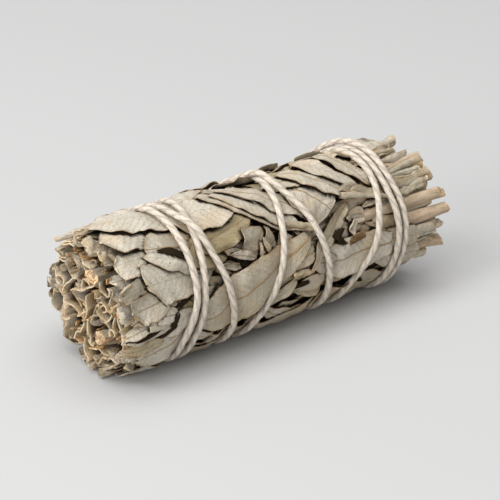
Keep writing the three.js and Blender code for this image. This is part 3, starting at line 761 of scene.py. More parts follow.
frontGrid = (37, 19)
frontRows = [
    (-27, 102, -46, 119, 11, -0.5, 0.3, 0, 20, 30, 0.2, 0.2),
    shadowSliver(-30.5, 103.5, -39, 102.5, 1.0, 0.3),
    (-28, 92, -39.5, 98.5, 5.5, 0, 0.25, 0, 20, 30, 0.4, 0.15),
    shadowSliver(-34, 95, -45, 107, 2.2, 0.2),
    (-38, 104, -50.0, 111, 3.6, 0, 0.5, 20, 50, 50, 0.3, 0.8),
    (-34, 92, -49.8, 103, 3.4, 0.4, 0.3, 10, 20, 70, 0.5, 0.25),
    shadowSliver(-38.5, 93, -49, 99.5, 2.1, 0.2),
    (-38, 89, -49.8, 95.5, 2.8, 0.3, 0.3, 30, 70, 70, 0.3, 0.3),
    (-33, 78, -47, 87, 3.4, 0.5, 0.3, 20, 90, 20, 0, 0.5),
    (-36, 91, -43.4, 88, 3.4, 0, 0.1, 0, 20, 20, 0.4, 0.1, -0.3),
    (-34, 88, -40.4, 84, 4.2, 0, 0.1, 0, 20, 30, 0.5, 0.1, -0.5),
    shadowSliver(-29.4, 74.5, -34.6, 84.5, 1.8),
    shadowSliver(-34.3, 86, -37, 96, 1.0),
    (-38, 55, -50, 62, 5.5, 0, 0.2, 0, 110, 30, 0.6, 0.4),
    (-36, 72, -47.4, 77, 7.5, 0, 0.06, 0, 30, 30, 0.3, 0.35, 0.4),
    (-28, 40, -47.5, 37, 9, 0, 0.12, 0, 60, 20, 0.6, 0.3, -0.4),
    (-22, 64, -42.5, 60, 11, 0.5, 0.12, 0, 10, 35, 0.5, 0.3, 0.5),
    (-28, 16, -47.5, 16, 11, 0, 0.25, -14, 40, 40, 0.4, 0.2),
    (-18, 37, -38.5, 33, 11, -0.5, 0.25, 0, 20, 20, 0, 0.45),
    (-19, 45, -33, 42, 3.8, 0, 0.5, 10, 30, 30, 0, 0.1),
    (-19, 55, -40, 38, 8, -1.0, 0.5, 0, 85, 10, 0.4, 0.2),
    shadowSliver(-26.5, 51, -36.0, 37, 2.2, 0.5),
    (-32, -6, -49.5, -13, 6, 0, 0.5, 30, 60, 30, 0, 0.4),
    (-20, 9, -47.4, -8, 15, 0.8, 0.45, 0, 10, 30, 0.3, 0.1),
    (-29, 52, -13, 44, 9, 0, 0.5, 12, 20, 20, 0.2, 0.9),
    (-27, 42, -7, 31, 9.5, 0.5, 0.45, 12, 30, 60, 0.2, 1.0),
    (-29, -24, -11, -17, 8.5, 0.5, 0.5, 0, 20, 20, 0.3, 0.3),
    (-28, 4, -8.5, 19, 14, 1, 0.5, -8, 15, 25, 0.2, 0.1),
    (-6, 50, -4.4, 35, 3.4, 0, 0.9, 10, 30, 30, 0.5, 0.6),
    (-11, 66, -9, 42, 7, 0, 0.1, 0, 75, 75, 0.9, 0.5),
    (-4.5, 70, -4.4, 41, 5.8, 0, 0.85, 0, 25, 25, 0.6, 0.45),
    (-11, 64, -19, 53, 3, 0.5, 0.6, 0, 100, 60, 0.6, 0.4),
    (-9, 67, -18, 57, 2.6, 0.5, 0.6, 0, 80, 90, 0.6, 0.3),
    (-14, 70, -20, 62, 2.6, 0, 0.7, 10, 60, 60, 0.6, 0.5),
    (-8, 68, -8, 54, 2.2, 0.6, 0.7, 20, 60, 60, 0.8, 0.4),
    (-5, 66, -7.5, 52, 2.2, -0.6, 0.7, 20, 60, 60, 0.9, 0.4),
    (0, 72, 0.5, 47, 5, 0, 0.8, 10, 40, 40, 0.5, 0.6),
    (8, 66, 3, 50, 5, 0, 0.6, 10, 40, 60, 0.5, 0.7),
    (-17, -14, 7, 58, 7.5, 1.2, 0.5, 4, 10, 12, 0, 0.45),
    (-13, -10, 5, 52, 8.0, 0.6, 0.5, 0, 8, 12, 0, 0.3),
    (13, 48, -12.5, -13, 8.5, -0.8, 0.6, 0, 30, 40, 0.3, 0.35),
    (7, 12, 16, 48, 12, 0, 0.12, 0, 15, 15, 0.2, 0.3),
    (3, -2, 13, 17, 6, 0, 0.3, 0, 50, 50, 0.6, 0.4),
    (8, -10, 25, 43, 7.5, 1, 0.5, 0, 45, 20, 0.4, 0.3),
    (15, -15, 27, 34, 7, 1, 0.5, 0, 45, 15, 0.4, 0.2),
    (24, -22, 31, 36, 7.5, 0, 0.5, 0, 30, 20, 0.3, 0.3),
    (20, 32, 32, 46, 3, 0, 0.5, 20, 50, 20, 0, 0.6),
    (23, 36, 34, 52, 3.2, 0, 0.5, 20, 50, 50, 0, 0.7),
    (26, 52, 17, 75, 6, 0, 0.4, 0, 90, 70, 0.8, 0.6),
    (26, 100, 43, 109, 9, 0, 0.3, 0, 20, 20, 0.3, 0.4),
    (28, 84, 42, 92, 6, 0, 0.2, 0, 30, 30, 0.3, 0.4),
    (35, 90, 5.5, 91, 10.5, 0.4, 0.22, 0, 12, 25, 0.3, 0.15),
    (12, 102, 0, 100, 5.5, 0, 0.5, 0, 60, 30, 0.3, 0.4),
    (14, 92, 5, 84, 6, 0, 0.7, 0, 20, 20, 0.4, 0.3),
    (9, 74, -5, 82, 5, 0, 0.6, 0, 40, 30, 0.4, 0.4),
    (22.5, 44, 4.3, 91, 4.8, 0.6, 0.5, 20, 15, 70, 0.3, 0.6),
    shadowSliver(13, 69.5, 17.4, 65, 1.8),
    shadowSliver(13.6, 70, 17, 78, 1.6),
    (26, 62, 18.5, 58, 3.4, 0, 0.6, 10, 90, 60, 0.6, 0.2),
    (22, 60, 19.3, 73, 3.0, 0.3, 0.5, 20, 100, 40, 0.7, 0.1),
    shadowSliver(5, 97.5, -1.6, 99.5, 1.2),
    shadowSliver(-0.6, 101, -6.8, 103.5, 1.2),
    (-5, 104, -22, 113, 4.5, 0, 0.5, 0, 30, 30, 0.3, 0.5),
    (1, 90, -8, 113, 3, 0, 0.5, 10, 40, 40, 0.3, 0.55),
    (9, 58, -29, 106, 14.5, -0.6, 0.3, 4, 8, 14, 0.4, 0.6, 0, 0.95),
    (26, -8, 46.5, -6, 11, 0, 0.1, 15, 80, 80, 0, 0.1),
    (30, 12, 45, 9, 3.6, 0, 0.4, 30, 100, 60, 0, 0.7),
]

# Each layer of leaves is laid on the ones before it, and a leaf's number is its seed too.
layers = [
    ("leavesUnder", underRows(), underLayer["grid"], 1000),
    ("collarNear", collarRows(collar), collar["grid"], 2000),
    ("collarFar", collarRows(farCollar), farCollar["grid"], 3000),
    ("leavesSmall", smallRows(), smallLayer["grid"], 4000),
    ("leavesBack", backRows(), backLayer["grid"], 5000),
    ("leavesFront", frontRows, frontGrid, 6000),
]
laid = {}
for name, rows, grid, first in layers:
    laid[name] = [layLeaf(row, grid, first + k) for k, row in enumerate(rows)]
    print(name, "laid")
press = pressTable()
for name, leaves in laid.items():
    makePiece(name, [leafPart(leaf) for leaf in leaves], leafFinish, "dry_leaf", "leaf_bunch")

# Leaves rolled up into scrolls. Each row: x, turn and reach of both ends, the radius at both ends, windings,
# the angle at which the outer margin lies, and the tone, which goes on from olive 1 to brown 2.
scroll = {"grid": (21, 33), "thickness": 0.24, "tighter": 0.45, "rows": [
    (35.6, -7, 16.6, 48.8, -8, 17.5, 2.6, 1.8, 1.25, 160, 0.2),
    (35, 41, 16.2, 48.6, 43, 17.0, 1.7, 1.9, 1.2, 60, 0.75),
    (36, 52, 16.6, 47.5, 49, 17.2, 1.1, 1.4, 1.3, 300, 0.7),
    (34, 32, 16.4, 46.2, 27, 17.6, 0.9, 1.3, 1.4, 200, 0.6),
    (34, 92, 15.6, 50.0, 90, 16.6, 1.1, 1.4, 1.2, 30, 0.5),
    (31, 8, 17.2, 44.5, 11, 17.9, 0.9, 0.6, 1.5, 30, 0.7),
    (30, -24, 16.5, 45.0, -26, 17.0, 1.6, 1.3, 1.3, 120, 0.5),
    (32, 34, 16.4, 47.0, 36, 17.2, 1.1, 0.9, 1.4, 60, 0.5),
    (33, 88, 16.2, 46.5, 88, 16.8, 1.3, 1.0, 1.3, 10, 0.4),
    (34, 118, 16.0, 46.0, 116, 16.4, 1.3, 1.2, 1.3, 10, 0.3),
    (34, 97, 15.4, 47.6, 96, 16.4, 0.9, 1.3, 1.3, 100, 0.3),
    (35, 102, 15.6, 46.4, 101, 16.8, 0.8, 1.1, 1.4, 200, 0.7),
    (34, 85, 15.2, 48.2, 86, 15.8, 0.7, 1.0, 1.3, 20, 0.2),
    (34, 70, 14.4, 47.4, 69, 15.4, 0.9, 1.2, 1.3, 320, 0.6),
    (34, 18, 16.0, 47.0, 17, 17.4, 0.9, 1.2, 1.3, 60, 0.4),
    (34, 52, 14.0, 48.6, 53, 15.2, 0.9, 1.2, 1.3, 150, 0.8),
    (35, 33, 14.6, 49.2, 34, 15.6, 1.1, 1.5, 1.2, 250, 1.15),
    (-36, -28, 17.4, -49.6, -43, 17.6, 1.9, 0.4, 1.2, 90, 0.2),
    (-38, -42, 10.4, -48.6, -42, 10.3, 2.6, 2.8, 1.15, 110, 0.5),
    (-38, 4, 15.2, -48.0, 3, 14.4, 1.5, 1.2, 1.3, 150, 0.4),
    (-38, 44, 14.2, -46.4, 47, 13.8, 1.4, 1.3, 1.4, 180, 0.3),
    (-38, 66, 15.5, -48.0, 68, 15.0, 1.4, 1.3, 1.3, 180, 0.4),
    (-38, 95, 15.8, -48.4, 97, 15.6, 1.4, 1.2, 1.3, 200, 0.5),
    (-38, 120, 15.6, -48.6, 121, 15.4, 1.3, 1.2, 1.3, 90, 0.3),
    (-38, 172, 14.6, -48.0, 172, 14.6, 1.5, 1.3, 1.3, 90, 0.4),
    (-38, 215, 15.0, -48.6, 216, 14.8, 1.4, 1.2, 1.3, 90, 0.5),
    (-38, 262, 15.4, -48.2, 262, 15.2, 1.5, 1.4, 1.3, 90, 0.3),
    (-38, 310, 15.2, -49.0, 312, 14.8, 1.4, 1.1, 1.3, 90, 0.4),
    (-38, 60, 5.5, -47.2, 55, 5.0, 1.3, 1.2, 1.4, 0, 0.5),
    (-38, 200, 5.0, -48.0, 205, 5.2, 1.4, 1.2, 1.4, 120, 0.4),
    (-38, 300, 5.5, -48.4, 300, 5.0, 1.3, 1.2, 1.4, 220, 0.6),
    (1, 47, 17.2, 8, 56, 17.8, 0.9, 1.2, 1.3, 250, 0.8),
    (4.5, 90, 18.0, -0.6, 88, 18.8, 0.7, 1.0, 1.5, 60, 0.8),
    (18.0, 78, 17.6, 22.6, 73, 18.2, 0.7, 0.9, 1.3, 60, 1.9),
    (20, 38, 17.8, 33, 50, 17.8, 0.8, 0.5, 1.4, 60, 0.7),
]}


# One scroll: a spiral section whose radius falls from the outer margin inwards, carried from end to end.
def scrollPart(row, seed):
    x0, turn0, reach0, x1, turn1, reach1, wide0, wide1, windings, outerAt, tone = row
    rows, columns = scroll["grid"]
    u, s = column(0, 1, rows), column(0, 1, columns).T
    ragged = 0.30 * ripple(s * 9, 0 * u, seed) * (smooth((u - 0.7) / 0.3) - smooth((0.3 - u) / 0.3))
    x = mix(x0, x1, u) + ragged * np.sign(x1 - x0)
    turn, reach = mix(turn0, turn1, u), mix(reach0, reach1, u)
    angle = np.radians(outerAt) + circle * windings * s + 0.25 * ripple(u * 4, 0 * u, seed + 1)
    radius = mix(wide0, wide1, u) * (1 - scroll["tighter"] * s)
    bumps = (0.14 * ripple(x / 1.6, np.cos(angle) * 1.5, seed + 2)
             + 0.12 * ripple(x / 0.6, np.sin(angle) * 3, seed + 3)
             + 0.24 * ripple(x / 6, angle * 1.6, seed + 4))
    radius = (radius + bumps * np.minimum(radius, 1.2))[..., None]
    out = outward(turn)
    around, angle = np.cross(out, [1.0, 0, 0]), angle[..., None]
    middle = onBunch(x, turn, reach) + radius * np.cos(angle) * around + radius * np.sin(angle) * out
    run = circle * windings * max(wide0, wide1) * 0.8
    length = np.hypot(x1 - x0, (turn1 - turn0) * mmPerDegree)
    # painted shade: the inner windings turn near black; a tone past 1.2 adds a dark brown scroll's own colour
    inside = 0.9 * smooth(s * windings - 0.9) * smooth(1.4 - u * 1.4)
    values = {"along": u * length, "across": (s - 0.5) * run, "tone": min(tone, 1), "brown": max(tone - 1, 0),
              "rib": 0.12, "deep": np.maximum(inside, tone - 1.2), "torn": smooth(1 - (1 - u) * length / 0.5)}
    rim = np.minimum(np.minimum(s, 1 - s) * run, np.minimum(u, 1 - u) * length)
    return thickSheet(restOnTable(middle), rim, scroll["thickness"], values)


scrollParts = [scrollPart(row, 900 + k) for k, row in enumerate(scroll["rows"])]
makePiece("leafScrolls", scrollParts, leafFinish, "dry_leaf", "leaf_bunch")

heart = {"ends": (-42.5, 37.0), "rings": 70, "sides": 96, "relief": 0.5, "below": 0.3,
         "caps": (0.02, 0.3, 0.6, 0.85)}


# A closed drum whose reach waves a little and falls to the axis over the first and last rings.
def heartPart():
    along, turn = column(*heart["ends"], heart["rings"]), np.linspace(0, 360, heart["sides"], endpoint=False)
    reach = core + heart["relief"] * ripple(along / 2, np.cos(np.radians(turn)) * 8, 5) - heart["below"]
    caps = np.array(heart["caps"])[:, None]
    x = np.concatenate([heart["ends"][0] + 0 * caps, along, heart["ends"][1] + 0 * caps])
    reach = np.concatenate([caps * reach[:1], reach, caps[::-1] * reach[-1:]])
    return tubePart(restOnTable(onBunch(x, turn, reach)), {"along": 0.0, "across": 0.0})


makePiece("heart", [heartPart()], heartMaterial(), "dry_leaf", "leaf_bunch")

# Strips of leaf that stand out of both ends, in rings round the axis.
nearEnd = {
    "rings": [(1.5, 4), (4.2, 9), (6.8, 14), (9.2, 19), (11.4, 23), (13.4, 25), (15.2, 27)],
    "thickness": 0.48,
    "inside": -36.0,
    "tips": (-45.2, -49.4),
    "domed": 0.8,  # how much further the middle stands out than the rim
    "width": (3.2, 8.6),
    "grid": (11, 19),
    "farthest": 16.4,
    "curled": 0.3,
    # painted shade darkens the strips inward from this x
    "dark": -43.2,  # where the strips are still dark
    # y and z of cut stems that stand out, how far round them the strips end sooner, and where those end
    "clear": [(-7.8, 29.4, 4.4, 44.6), (-5.4, 28.4, 3.6, 45.2), (-6.8, 12.4, 3.8, 45.0),
              (-4.6, 11.0, 3.2, 45.6), (7.0, 25.4, 3.4, 46.2)],
    # turn and reach of fibre tufts, and how many fibres
    "fibres": [(-42, 10.3, 26), (-5, 10.0, 10), (23, 11.5, 8), (60, 9.0, 4), (98, 12.5, 14), (150, 8.4, 12),
               (230, 9, 10)],
    "seed": 31,
}
farEnd = {
    "rings": [(2.0, 5), (4.6, 10), (7.4, 15), (10.2, 20), (12.8, 24), (15.2, 28)],
    "inside": 28.0,
    "tips": (37.5, 46.0),
    "domed": 1.0,
    "width": (2.0, 5.0),
    "grid": (11, 11),
    "thickness": 0.28,
    "farthest": 16.4,
    "curled": 0.5,
    # painted shade darkens the strips inward from this x
    "dark": 33.0,
    "clear": [],
    "fibres": [(30, 16, 5), (110, 15, 6), (200, 14, 8), (280, 14, 8)],
    "seed": 37,
}


strip = {
    "slants": (75, 22),  # spread of the turn in the section, in the middle and at the rim
    "curl": (110, 230),  # degrees at the margin, of a curled strip and of a bent one
    "bend": (5, 70),
    "swing": 45,
    "crease": 44,
    "kink": 14,
    "lean": 0.9,
    "torn": (5, 0.8),  # knots and depth of the worn end
    # painted shade darkens a strip beyond this length from its end
    "lit": (0.6, 3.6),  # how far from its end a strip is still lit
    "stain": (0.08, 0.45),
}
fibre = {"grid": (9, 7), "width": (0.5, 1.5), "torn": (3, 1.8), "stain": (0.7, 1.0), "apart": 1.7}


# One strip: a cross-section bent by its slope angle and turned by its slant, carried along x to its worn end,
# leaning more and more on the way. Its inner stretch is darkened as painted shade.
def endStrip(end, ringReach, turn, rng, thin=False):
    rows, columns = (fibre if thin else end)["grid"]
    where = onBunch(0, turn, ringReach)[1:]
    outerness = min(ringReach / end["rings"][-1][0], 1)
    width = rng.uniform(*(fibre if thin else end)["width"])
    slant = np.radians(rng.normal(0, mix(*strip["slants"], outerness ** 2)))
    curled = rng.random() < end["curled"]
    bend = rng.choice([-1, 1]) * rng.uniform(*strip["curl" if curled else "bend"]) * mix(1, 0.6, outerness)
    swing = rng.uniform(-strip["swing"], strip["swing"])
    tip = mix(*end["tips"], rng.random()) + np.sign(end["inside"]) * end["domed"] * (1 - outerness ** 2)
    for y, z, reaches, limit in end["clear"]:
        if not thin and np.hypot(where[0] - y, where[1] - z) < reaches:
            tip = np.sign(tip) * min(abs(tip), limit + rng.uniform(-0.8, 0.8))
    lean, aside = rng.normal(0, strip["lean"], 2) + (strip["lean"] * outerness, 0)
    seed = int(rng.integers(1e6))
    v = sineRow(columns)
    length = abs(tip - end["inside"])
    t = np.append(np.linspace(0, 1 - 0.3 / length, rows - 2) ** 0.7, [1 - 0.06 / length, 1])[:, None]
    w = v * width / 2 * np.ones_like(t)
    creases = sum(rng.normal(0, strip["crease"]) * smooth((v * np.sign(at) - abs(at)) / 0.07)
                  for at in rng.uniform(-0.8, 0.8, 2))
    kinked = rng.normal(0, strip["kink"]) * smooth((t - rng.uniform(0.5, 0.9)) / 0.08)
    slope = bend * np.abs(v) + swing * v * np.abs(v) + creases + kinked + 5 * ripple(t * 3, v * 2, seed + 3)
    flatAcross, flatHeight = bendAcross(w, np.radians(slope))
    torn = tornEdge(v, *(fibre if thin else strip)["torn"], rng)
    x = mix(end["inside"], tip, t) - np.sign(tip) * torn * t ** 3 + 0.22 * w * rng.normal() * t
    across = flatAcross * np.cos(slant) - flatHeight * np.sin(slant) + aside * t ** 2
    height = flatAcross * np.sin(slant) + flatHeight * np.cos(slant) + lean * t ** 2
    height = ringReach + height + 0.12 * ripple(x, w, seed + 2)
    reach = np.hypot(across, height)
    scale = held(reach, end["farthest"] - 1, 1.0) / np.maximum(reach, 0.1)
    sine, cosine = np.sin(np.radians(turn)), np.cos(np.radians(turn))
    y, z = -(height * sine + across * cosine) * scale, (height * cosine - across * sine) * scale
    middle = restOnTable(np.stack([x + bunch["shift"], y, bunch["axisHeight"] + z], -1))
    lit = strip["lit"][0] + strip["lit"][1] * rng.random() ** 2
    stained = rng.uniform(*(fibre if thin else strip)["stain"])
    if not thin:
        stained += 0.4 * (rng.random() < 0.1)
    rim = np.minimum((1 - np.abs(v)) * width / 2, np.minimum((1 - t) * length, 3))
    # painted shade: near black inward of the end's dark x, and beyond lit from the strip's end
    shadedInside = smooth(1 - (np.abs(x) - abs(end["dark"])) / 2.8)
    values = {
        "along": t * length,
        "across": w + 20,
        "tone": rng.uniform(-0.1, 1.4),
        "brown": stained,
        "torn": 0.0 if thin else smooth(1 - (1 - t) * length / 0.4),
        "rim": rim + 0.30,
        "deep": 0.95 * np.maximum(shadedInside, smooth(((1 - t) * length - lit) / 1.2)),
        "rib": 0.1,
    }
    return thickSheet(middle, rim, end["thickness"], values)


# The rings of strips, and brown fibres round some of the cut stems.
def endStrips(end):
    rng = np.random.default_rng(end["seed"])
    parts = []
    for ringReach, count in end["rings"]:
        for k in range(count):
            turn = (k + rng.uniform(-0.3, 0.3)) * 360 / count
            parts.append(endStrip(end, ringReach + rng.uniform(-0.6, 0.6), turn, rng))
    for turn, reach, count in end["fibres"]:
        for k in range(count):
            middle = onBunch(0, turn, reach)[1:] + rng.normal(0, fibre["apart"], 2) - (0, bunch["axisHeight"])
            fibreTurn = np.degrees(np.arctan2(-middle[0], middle[1]))
            parts.append(endStrip(end, np.hypot(*middle), fibreTurn, rng, True))
    return parts


makePiece("cutLeafEnds", endStrips(nearEnd), leafFinish, "dry_leaf", "leaf_bunch")
makePiece("leafBases", endStrips(farEnd), leafFinish, "dry_leaf", "leaf_bunch")

# Each row: radius, tone, then x, turn and reach near the leaf end, the middle and the stem end.
stems = {
    "sides": 28,
    "rings": 46,
    "twigSides": 12,
    "twigRings": 40,
    "rimRings": [0.05, 0.2, 0.6],  # mm from each cut
    "taper": 0.17,
    "slant": 0.25,
    "farSlants": {3: 1.1, 5: 0.6},  # of the stems cut aslant, by number
    "piths": {5: 0.2, 3: 0.3},  # of the stems whose pith is darker, by number
    "capRings": [0.06, 0.35, 0.65, 0.88, 0.985],  # of a cut's radius
    "dish": [0.1, 0.05, 0.02, 0.0, 0.0],  # mm by which each of these lies deeper
    "bitten": 0.26,
    "joints": 6,
    "swollen": 0.08,  # share of the radius by which a joint is thicker
    "uneven": 0.055,
    "ridges": 7,
    "rows": [
        (2.3, 0.7, (-49.2, 23, 10), (0, 20, 9.5), (34, 24, 14.6), (50.2, 25, 16.4)),
        (1.9, 0.5, (-42, 50, 12.6), (0, 45, 13), (34, 43, 15), (50, 44, 16.4)),
        (2.0, 0.6, (-42, 80, 11.5), (0, 68, 12.5), (34, 61, 15), (51.2, 62, 16.9)),
        (2.1, 0.4, (-42, 110, 10), (0, 95, 12.5), (34, 79, 14.9), (52, 77, 16.8)),
        (2.2, 0.3, (-48.0, 150, 8.4), (0, 125, 12), (34, 108, 14.4), (51.8, 111, 16.2)),
        (1.8, 0.2, (-42, 75, 5), (0, 60, 6), (30, 62, 8.5), (46, 62, 10)),
        (2.0, 0.1, (-45, -42, 10.1), (0, -30, 10), (34, -30, 11.5), (49, -30, 12.4)),
        (2.0, 0.4, (-42, -85, 10), (0, -80, 10), (34, -80, 12), (50, -80, 12.8)),
        (1.9, 0.3, (-42, 185, 11.5), (0, 165, 11), (34, 152, 11.8), (48.5, 150, 12.2)),
        (2.0, 0.2, (-42, -130, 11), (0, -135, 11), (34, -135, 12.5), (51, -135, 13.2)),
    ],
}


# A stem: a round section with shallow ridges and swollen joints, carried along the curve through its places,
# and closed at each slanting cut by rings that shrink to the pith, with a bitten rim and uneven wood.
def stemPart(row, seed, sides, count, farSlant=0.15, pale=1.0):
    radius, tone, *places = row
    corners = np.array([onBunch(*place) for place in places])
    close = np.array(stems["rimRings"]) / (corners[-1, 0] - corners[0, 0])
    t = np.sort(np.concatenate([np.linspace(0, 1, count), close, 1 - close]))[:, None]
    x = mix(corners[0, 0], corners[-1, 0], t)
    y, z = (np.polyval(np.polyfit(corners[:, 0], corners[:, axis], 3), x) for axis in (1, 2))
    angle = circle * np.linspace(0, 1, sides, endpoint=False)[None, :]
    centres = np.random.default_rng(seed).uniform(x.min(), x.max(), stems["joints"])
    joints = sum(np.exp(-((x - centre) / 0.8) ** 2) for centre in centres) * (1 + 0.8 * np.cos(angle - x / 9))
    thinner = stems["taper"] * smooth((np.abs(x) - 25) / 25)
    ridges = 0.015 + 0.06 * smooth((-x - 38) / 6)
    grown = radius * (0.93 - thinner + stems["swollen"] * joints
                      + stems["uneven"] * ripple(x / 4, 2 * np.cos(angle), seed)
                      + ridges * np.sin(stems["ridges"] * angle + x / 11))
    shares, dish = (np.array(stems[key])[:, None] for key in ("capRings", "dish"))
    slants = [-stems["slant"] * radius * np.cos(angle),
              radius * (0.7 * np.cos(angle) - 0.7 * np.sin(angle)) * farSlant]
    caps = []
    for side, at in ((-1, 0), (1, -1)):
        rough = 0.45 * ripple(shares * 2.5, angle * 1.5, seed + 7 + side) * (1 - 0.5 * shares)
        capX = x[at] + side * (rough - dish) + shares * slants[at]
        pith = smooth((0.70 - shares) / 0.40)
        caps.append(np.broadcast_arrays(capX, shares * grown[at], y[at], z[at], 1, pith))
    leaning = slants[0] * np.exp(-(x - x[0]) / 1.5) + slants[1] * np.exp(-(x[-1] - x) / 1.5)
    bitten = stems["bitten"] * ripple(angle * 3, 0 * t, seed + 9) * ((t < 1e-6) | (t > 1 - 1e-6))
    body = np.broadcast_arrays(x + leaning + bitten, grown, y, z, 0, 0)
    rings = [np.stack(grids, -1) for grids in (caps[0], body, caps[1])]
    x, grown, y, z, cut, pith = np.moveaxis(np.concatenate([*rings[:2], rings[2][::-1]]), -1, 0)
    values = {"along": x, "across": angle * radius, "cut": mix(0.5, 1.0, pale) * cut, "pith": pale * pith,
              "tone": mix(1.6, tone, smooth((x + 50) / 40))}
    return tubePart(np.stack([x, y + grown * np.cos(angle), z + grown * np.sin(angle)], -1), values)


# Thinner twigs between the stems, in rows like theirs.
twigs = [
    (1.5, 0.7, (-41, 12, 14.8), (0, 10, 12), (40, 8, 13)),
    (1.1, 0.2, (-41, 84, 9.5), (0, 90, 9), (46.5, 92, 9.4)),
    (1.2, 0.3, (-41, -14, 5.5), (0, 0, 5), (47.5, 10, 5.5)),
    (1.0, 0.4, (-41, 118, 13.5), (0, 125, 7), (46, 128, 6.5)),
    (1.3, 0.1, (-41, 190, 7), (0, 185, 8), (48, 184, 8.2)),
    (1.0, 0.3, (-41, -62, 14), (0, -58, 9), (47, -55, 8)),
    (1.4, 0.2, (-41, -110, 8), (0, -110, 8.5), (49, -112, 9.5)),
    (1.2, 0.5, (-41, -100, 14.4), (0, -105, 14), (47.5, -106, 15)),
    (1.1, 0.2, (-41, 222, 13.8), (0, 205, 14), (48.2, 200, 14.6)),
    (1.2, 0.3, (-41, -15, 10.5), (0, -8, 13), (48, -6, 14.2)),
    (1.0, 0.4, (-41, 178, 15), (0, 176, 14.6), (47, 176, 15.2)),
    (1.3, 0.2, (-41, 62, 14.8), (0, 60, 2), (47.6, 60, 1.5)),
    (1.1, 0.3, (-41, -42, 14), (0, -55, 14), (48.5, -57, 15)),
    (1.0, 0.3, (-41, 132, 15.4), (0, 128, 14.6), (48.6, 126, 15.4)),
]
twigParts = [stemPart(row, 80 + k, stems["twigSides"], stems["twigRings"]) for k, row in enumerate(twigs)]
makePiece("twigs", twigParts, stemFinish, "dry_stem", "leaf_bunch")

for number, row in enumerate(stems["rows"], start=1):
    part = stemPart(row, 50 + number, stems["sides"], stems["rings"], stems["farSlants"].get(number, 0.15),
                    stems["piths"].get(number, 1.0))
    makePiece(f"stemDry{number:02d}", [part], stemFinish, "dry_stem", f"stem_{number:02d}")

knot = {"x": 36.1, "turn": 220, "reach": 19.4, "size": 0.432, "steps": 150, "tail": 7.0, "tailSteps": 50}
lowestCord = twine["radius"] + 0.06  # of the cord's middle, just clear of the table
riding = {"across": 0.93, "evened": 6}  # of a gap in x across the slanting strands, and steps either way


# The cord's middle line: it keeps its reach, but over earlier strands it rides up by the height left over
# from their spacing, and under the bunch it runs flat on the table.
def twineLine():
    turn = np.arange(routeTurn[0], routeTurn[-1], twine["stepDegrees"])
    x = cordX(turn)
    perRound = int(360 / twine["stepDegrees"])
    reach = np.full(len(turn), twine["reach"])
    for k in range(perRound, len(turn)):
        earlier = np.arange(k - perRound, -1, -perRound)
        apart = riding["across"] * np.abs(x[k] - x[earlier])
        over = np.sqrt(np.maximum(0, twine["strandSpacing"] ** 2 - apart ** 2))
        reach[k] = max(reach[k], np.where(over > 0, reach[earlier] + over, 0).max())
    width = 2 * riding["evened"] + 1
    reach = np.convolve(np.pad(reach, riding["evened"], mode="edge"), np.ones(width) / width, "valid")
    down = -np.cos(np.radians(turn))
    table = np.where(down > 0.2, (bunch["axisHeight"] - lowestCord) / np.maximum(down, 0.2), 1e3)
    return onBunch(x, turn, np.minimum(reach, table)), outward(turn)


# One ply: a round section that winds round the middle line. Its groove value, which the twine turns into
# painted shade, is high towards the others.
def plyPart(line, out, ply):
    ahead = np.gradient(line, axis=0)
    step = np.linalg.norm(ahead, axis=1, keepdims=True)
    sideways = np.cross(ahead / step, out)
    sideways = sideways / np.linalg.norm(sideways, axis=1, keepdims=True)
    up = np.cross(sideways, ahead / step)[:, None]
    sideways, run = sideways[:, None], np.cumsum(step)[:, None]
    wind = circle * (run / twine["plyPitch"] + ply / twine["plies"])
    share = np.arange(twine["sides"])[None, :] / twine["sides"]
    angle = (circle * share + wind)[..., None]
    offset = twine["plyOffset"] * (sideways * np.cos(wind)[..., None] + up * np.sin(wind)[..., None])
    radius = twine["plyRadius"] * (1 + 0.05 * ripple(run * 2.2, 0 * run, 60 + ply))[..., None]
    points = line[:, None] + offset + radius * (sideways * np.cos(angle) + up * np.sin(angle))
    values = {"along": run, "across": share, "groove": smooth(0.5 - 0.9 * np.cos(circle * share))}
    return tubePart(points, values, -1)


# The knot: a threefold loop, flattened on the bunch, with two short tails that lie along it.
def knotLines():
    centre, out = onBunch(knot["x"], knot["turn"], knot["reach"]), outward(knot["turn"])
    along = np.array([1.0, 0, 0])
    around = np.cross(out, along)
    t = column(0, circle * 0.97, knot["steps"])
    lines = [centre + knot["size"] * (along * (np.sin(t) + 2 * np.sin(2 * t))
                                      + around * (np.cos(t) - 2 * np.cos(2 * t)) - 0.9 * out * np.sin(3 * t))]
    s = column(0, 1, knot["tailSteps"])
    for heading in (1, -1):
        tail = centre + (around * heading * 0.75 - along * 0.6) * s * knot["tail"]
        lines.append(tail + out * (-1.6 * s + 0.5 * np.sin(3 * s)))
    for line in lines:
        line[:, 2] = np.maximum(line[:, 2], lowestCord)
    return [(line, out) for line in lines]


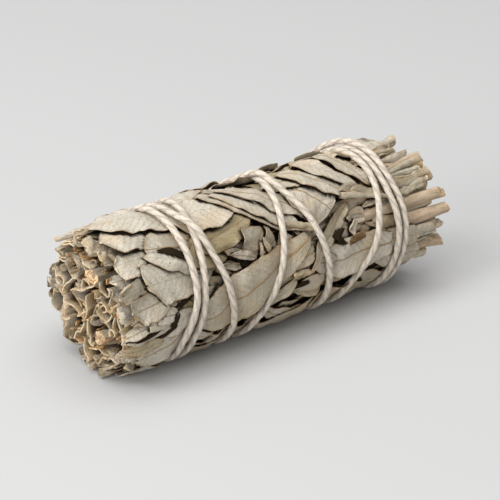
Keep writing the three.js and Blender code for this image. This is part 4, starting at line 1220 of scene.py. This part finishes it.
wound = twineLine()
twineLength = np.linalg.norm(np.diff(wound[0], axis=0), axis=1).sum()
print(f"twine length on the bunch: {twineLength:.0f} mm")
plyParts = [plyPart(*cord, ply) for cord in (wound, *knotLines()) for ply in range(twine["plies"])]
makePiece("twineCord", plyParts, twineFinish, "cotton_twine", "twine")

studio = {
    "table": (0.500, 0.500, 0.498),
    "tableHalf": 2.5,
    "sky": 0.45,
    "lamps": [
        ("keyLight", (-0.72, 0.16, 0.80), 0.50, 4.7),
        ("overheadLight", (0.0, -0.05, 1.40), 1.60, 15.8),
        ("fillLight", (-0.95, -0.20, 0.32), 0.60, 5.6),
    ],
    "lampTarget": (0, 0, 0.015),
}


def aim(holder, place, target):
    holder.location = place
    holder.rotation_euler = (Vector(target) - Vector(place)).to_track_quat("-Z", "Y").to_euler()


startMaterial("paleTable")
tableInputs = {"Base Color": (*studio["table"], 1), "Roughness": 0.7, "Specular IOR Level": 0.2}
tableMesh = bpy.data.meshes.new("table")
half = studio["tableHalf"]
corners = [(-half, -half, 0), (half, -half, 0), (half, half, 0), (-half, half, 0)]
tableMesh.from_pydata(corners, [], [range(4)])
tableMesh.materials.append(finishPlain(tableInputs))
table = link("table", tableMesh)

world = bpy.data.worlds.new("studioWorld")
bpy.context.scene.world = world
world.use_nodes = True
world.node_tree.nodes["Background"].inputs[0].default_value = (1.0, 1.0, 1.0, 1.0)
world.node_tree.nodes["Background"].inputs[1].default_value = studio["sky"]
for name, place, size, power in studio["lamps"]:
    lamp = bpy.data.lights.new(name, "AREA")
    lamp.shape, lamp.size, lamp.energy = "DISK", size, power
    aim(link(name, lamp), place, studio["lampTarget"])
bpy.context.scene.view_settings.view_transform = "Standard"

view = {"place": (-234.1, -308.7, 208.1), "target": (-0.96, 0.07, 17.92), "lens": 122.4, "sensor": 36.0}
cameraData = bpy.data.cameras.new("camera")
cameraData.lens, cameraData.sensor_width, cameraData.clip_start = view["lens"], view["sensor"], 0.01
camera = link("camera", cameraData)
aim(camera, Vector(view["place"]) * metre, Vector(view["target"]) * metre)
bpy.context.scene.camera = camera
print("table, light and camera placed")
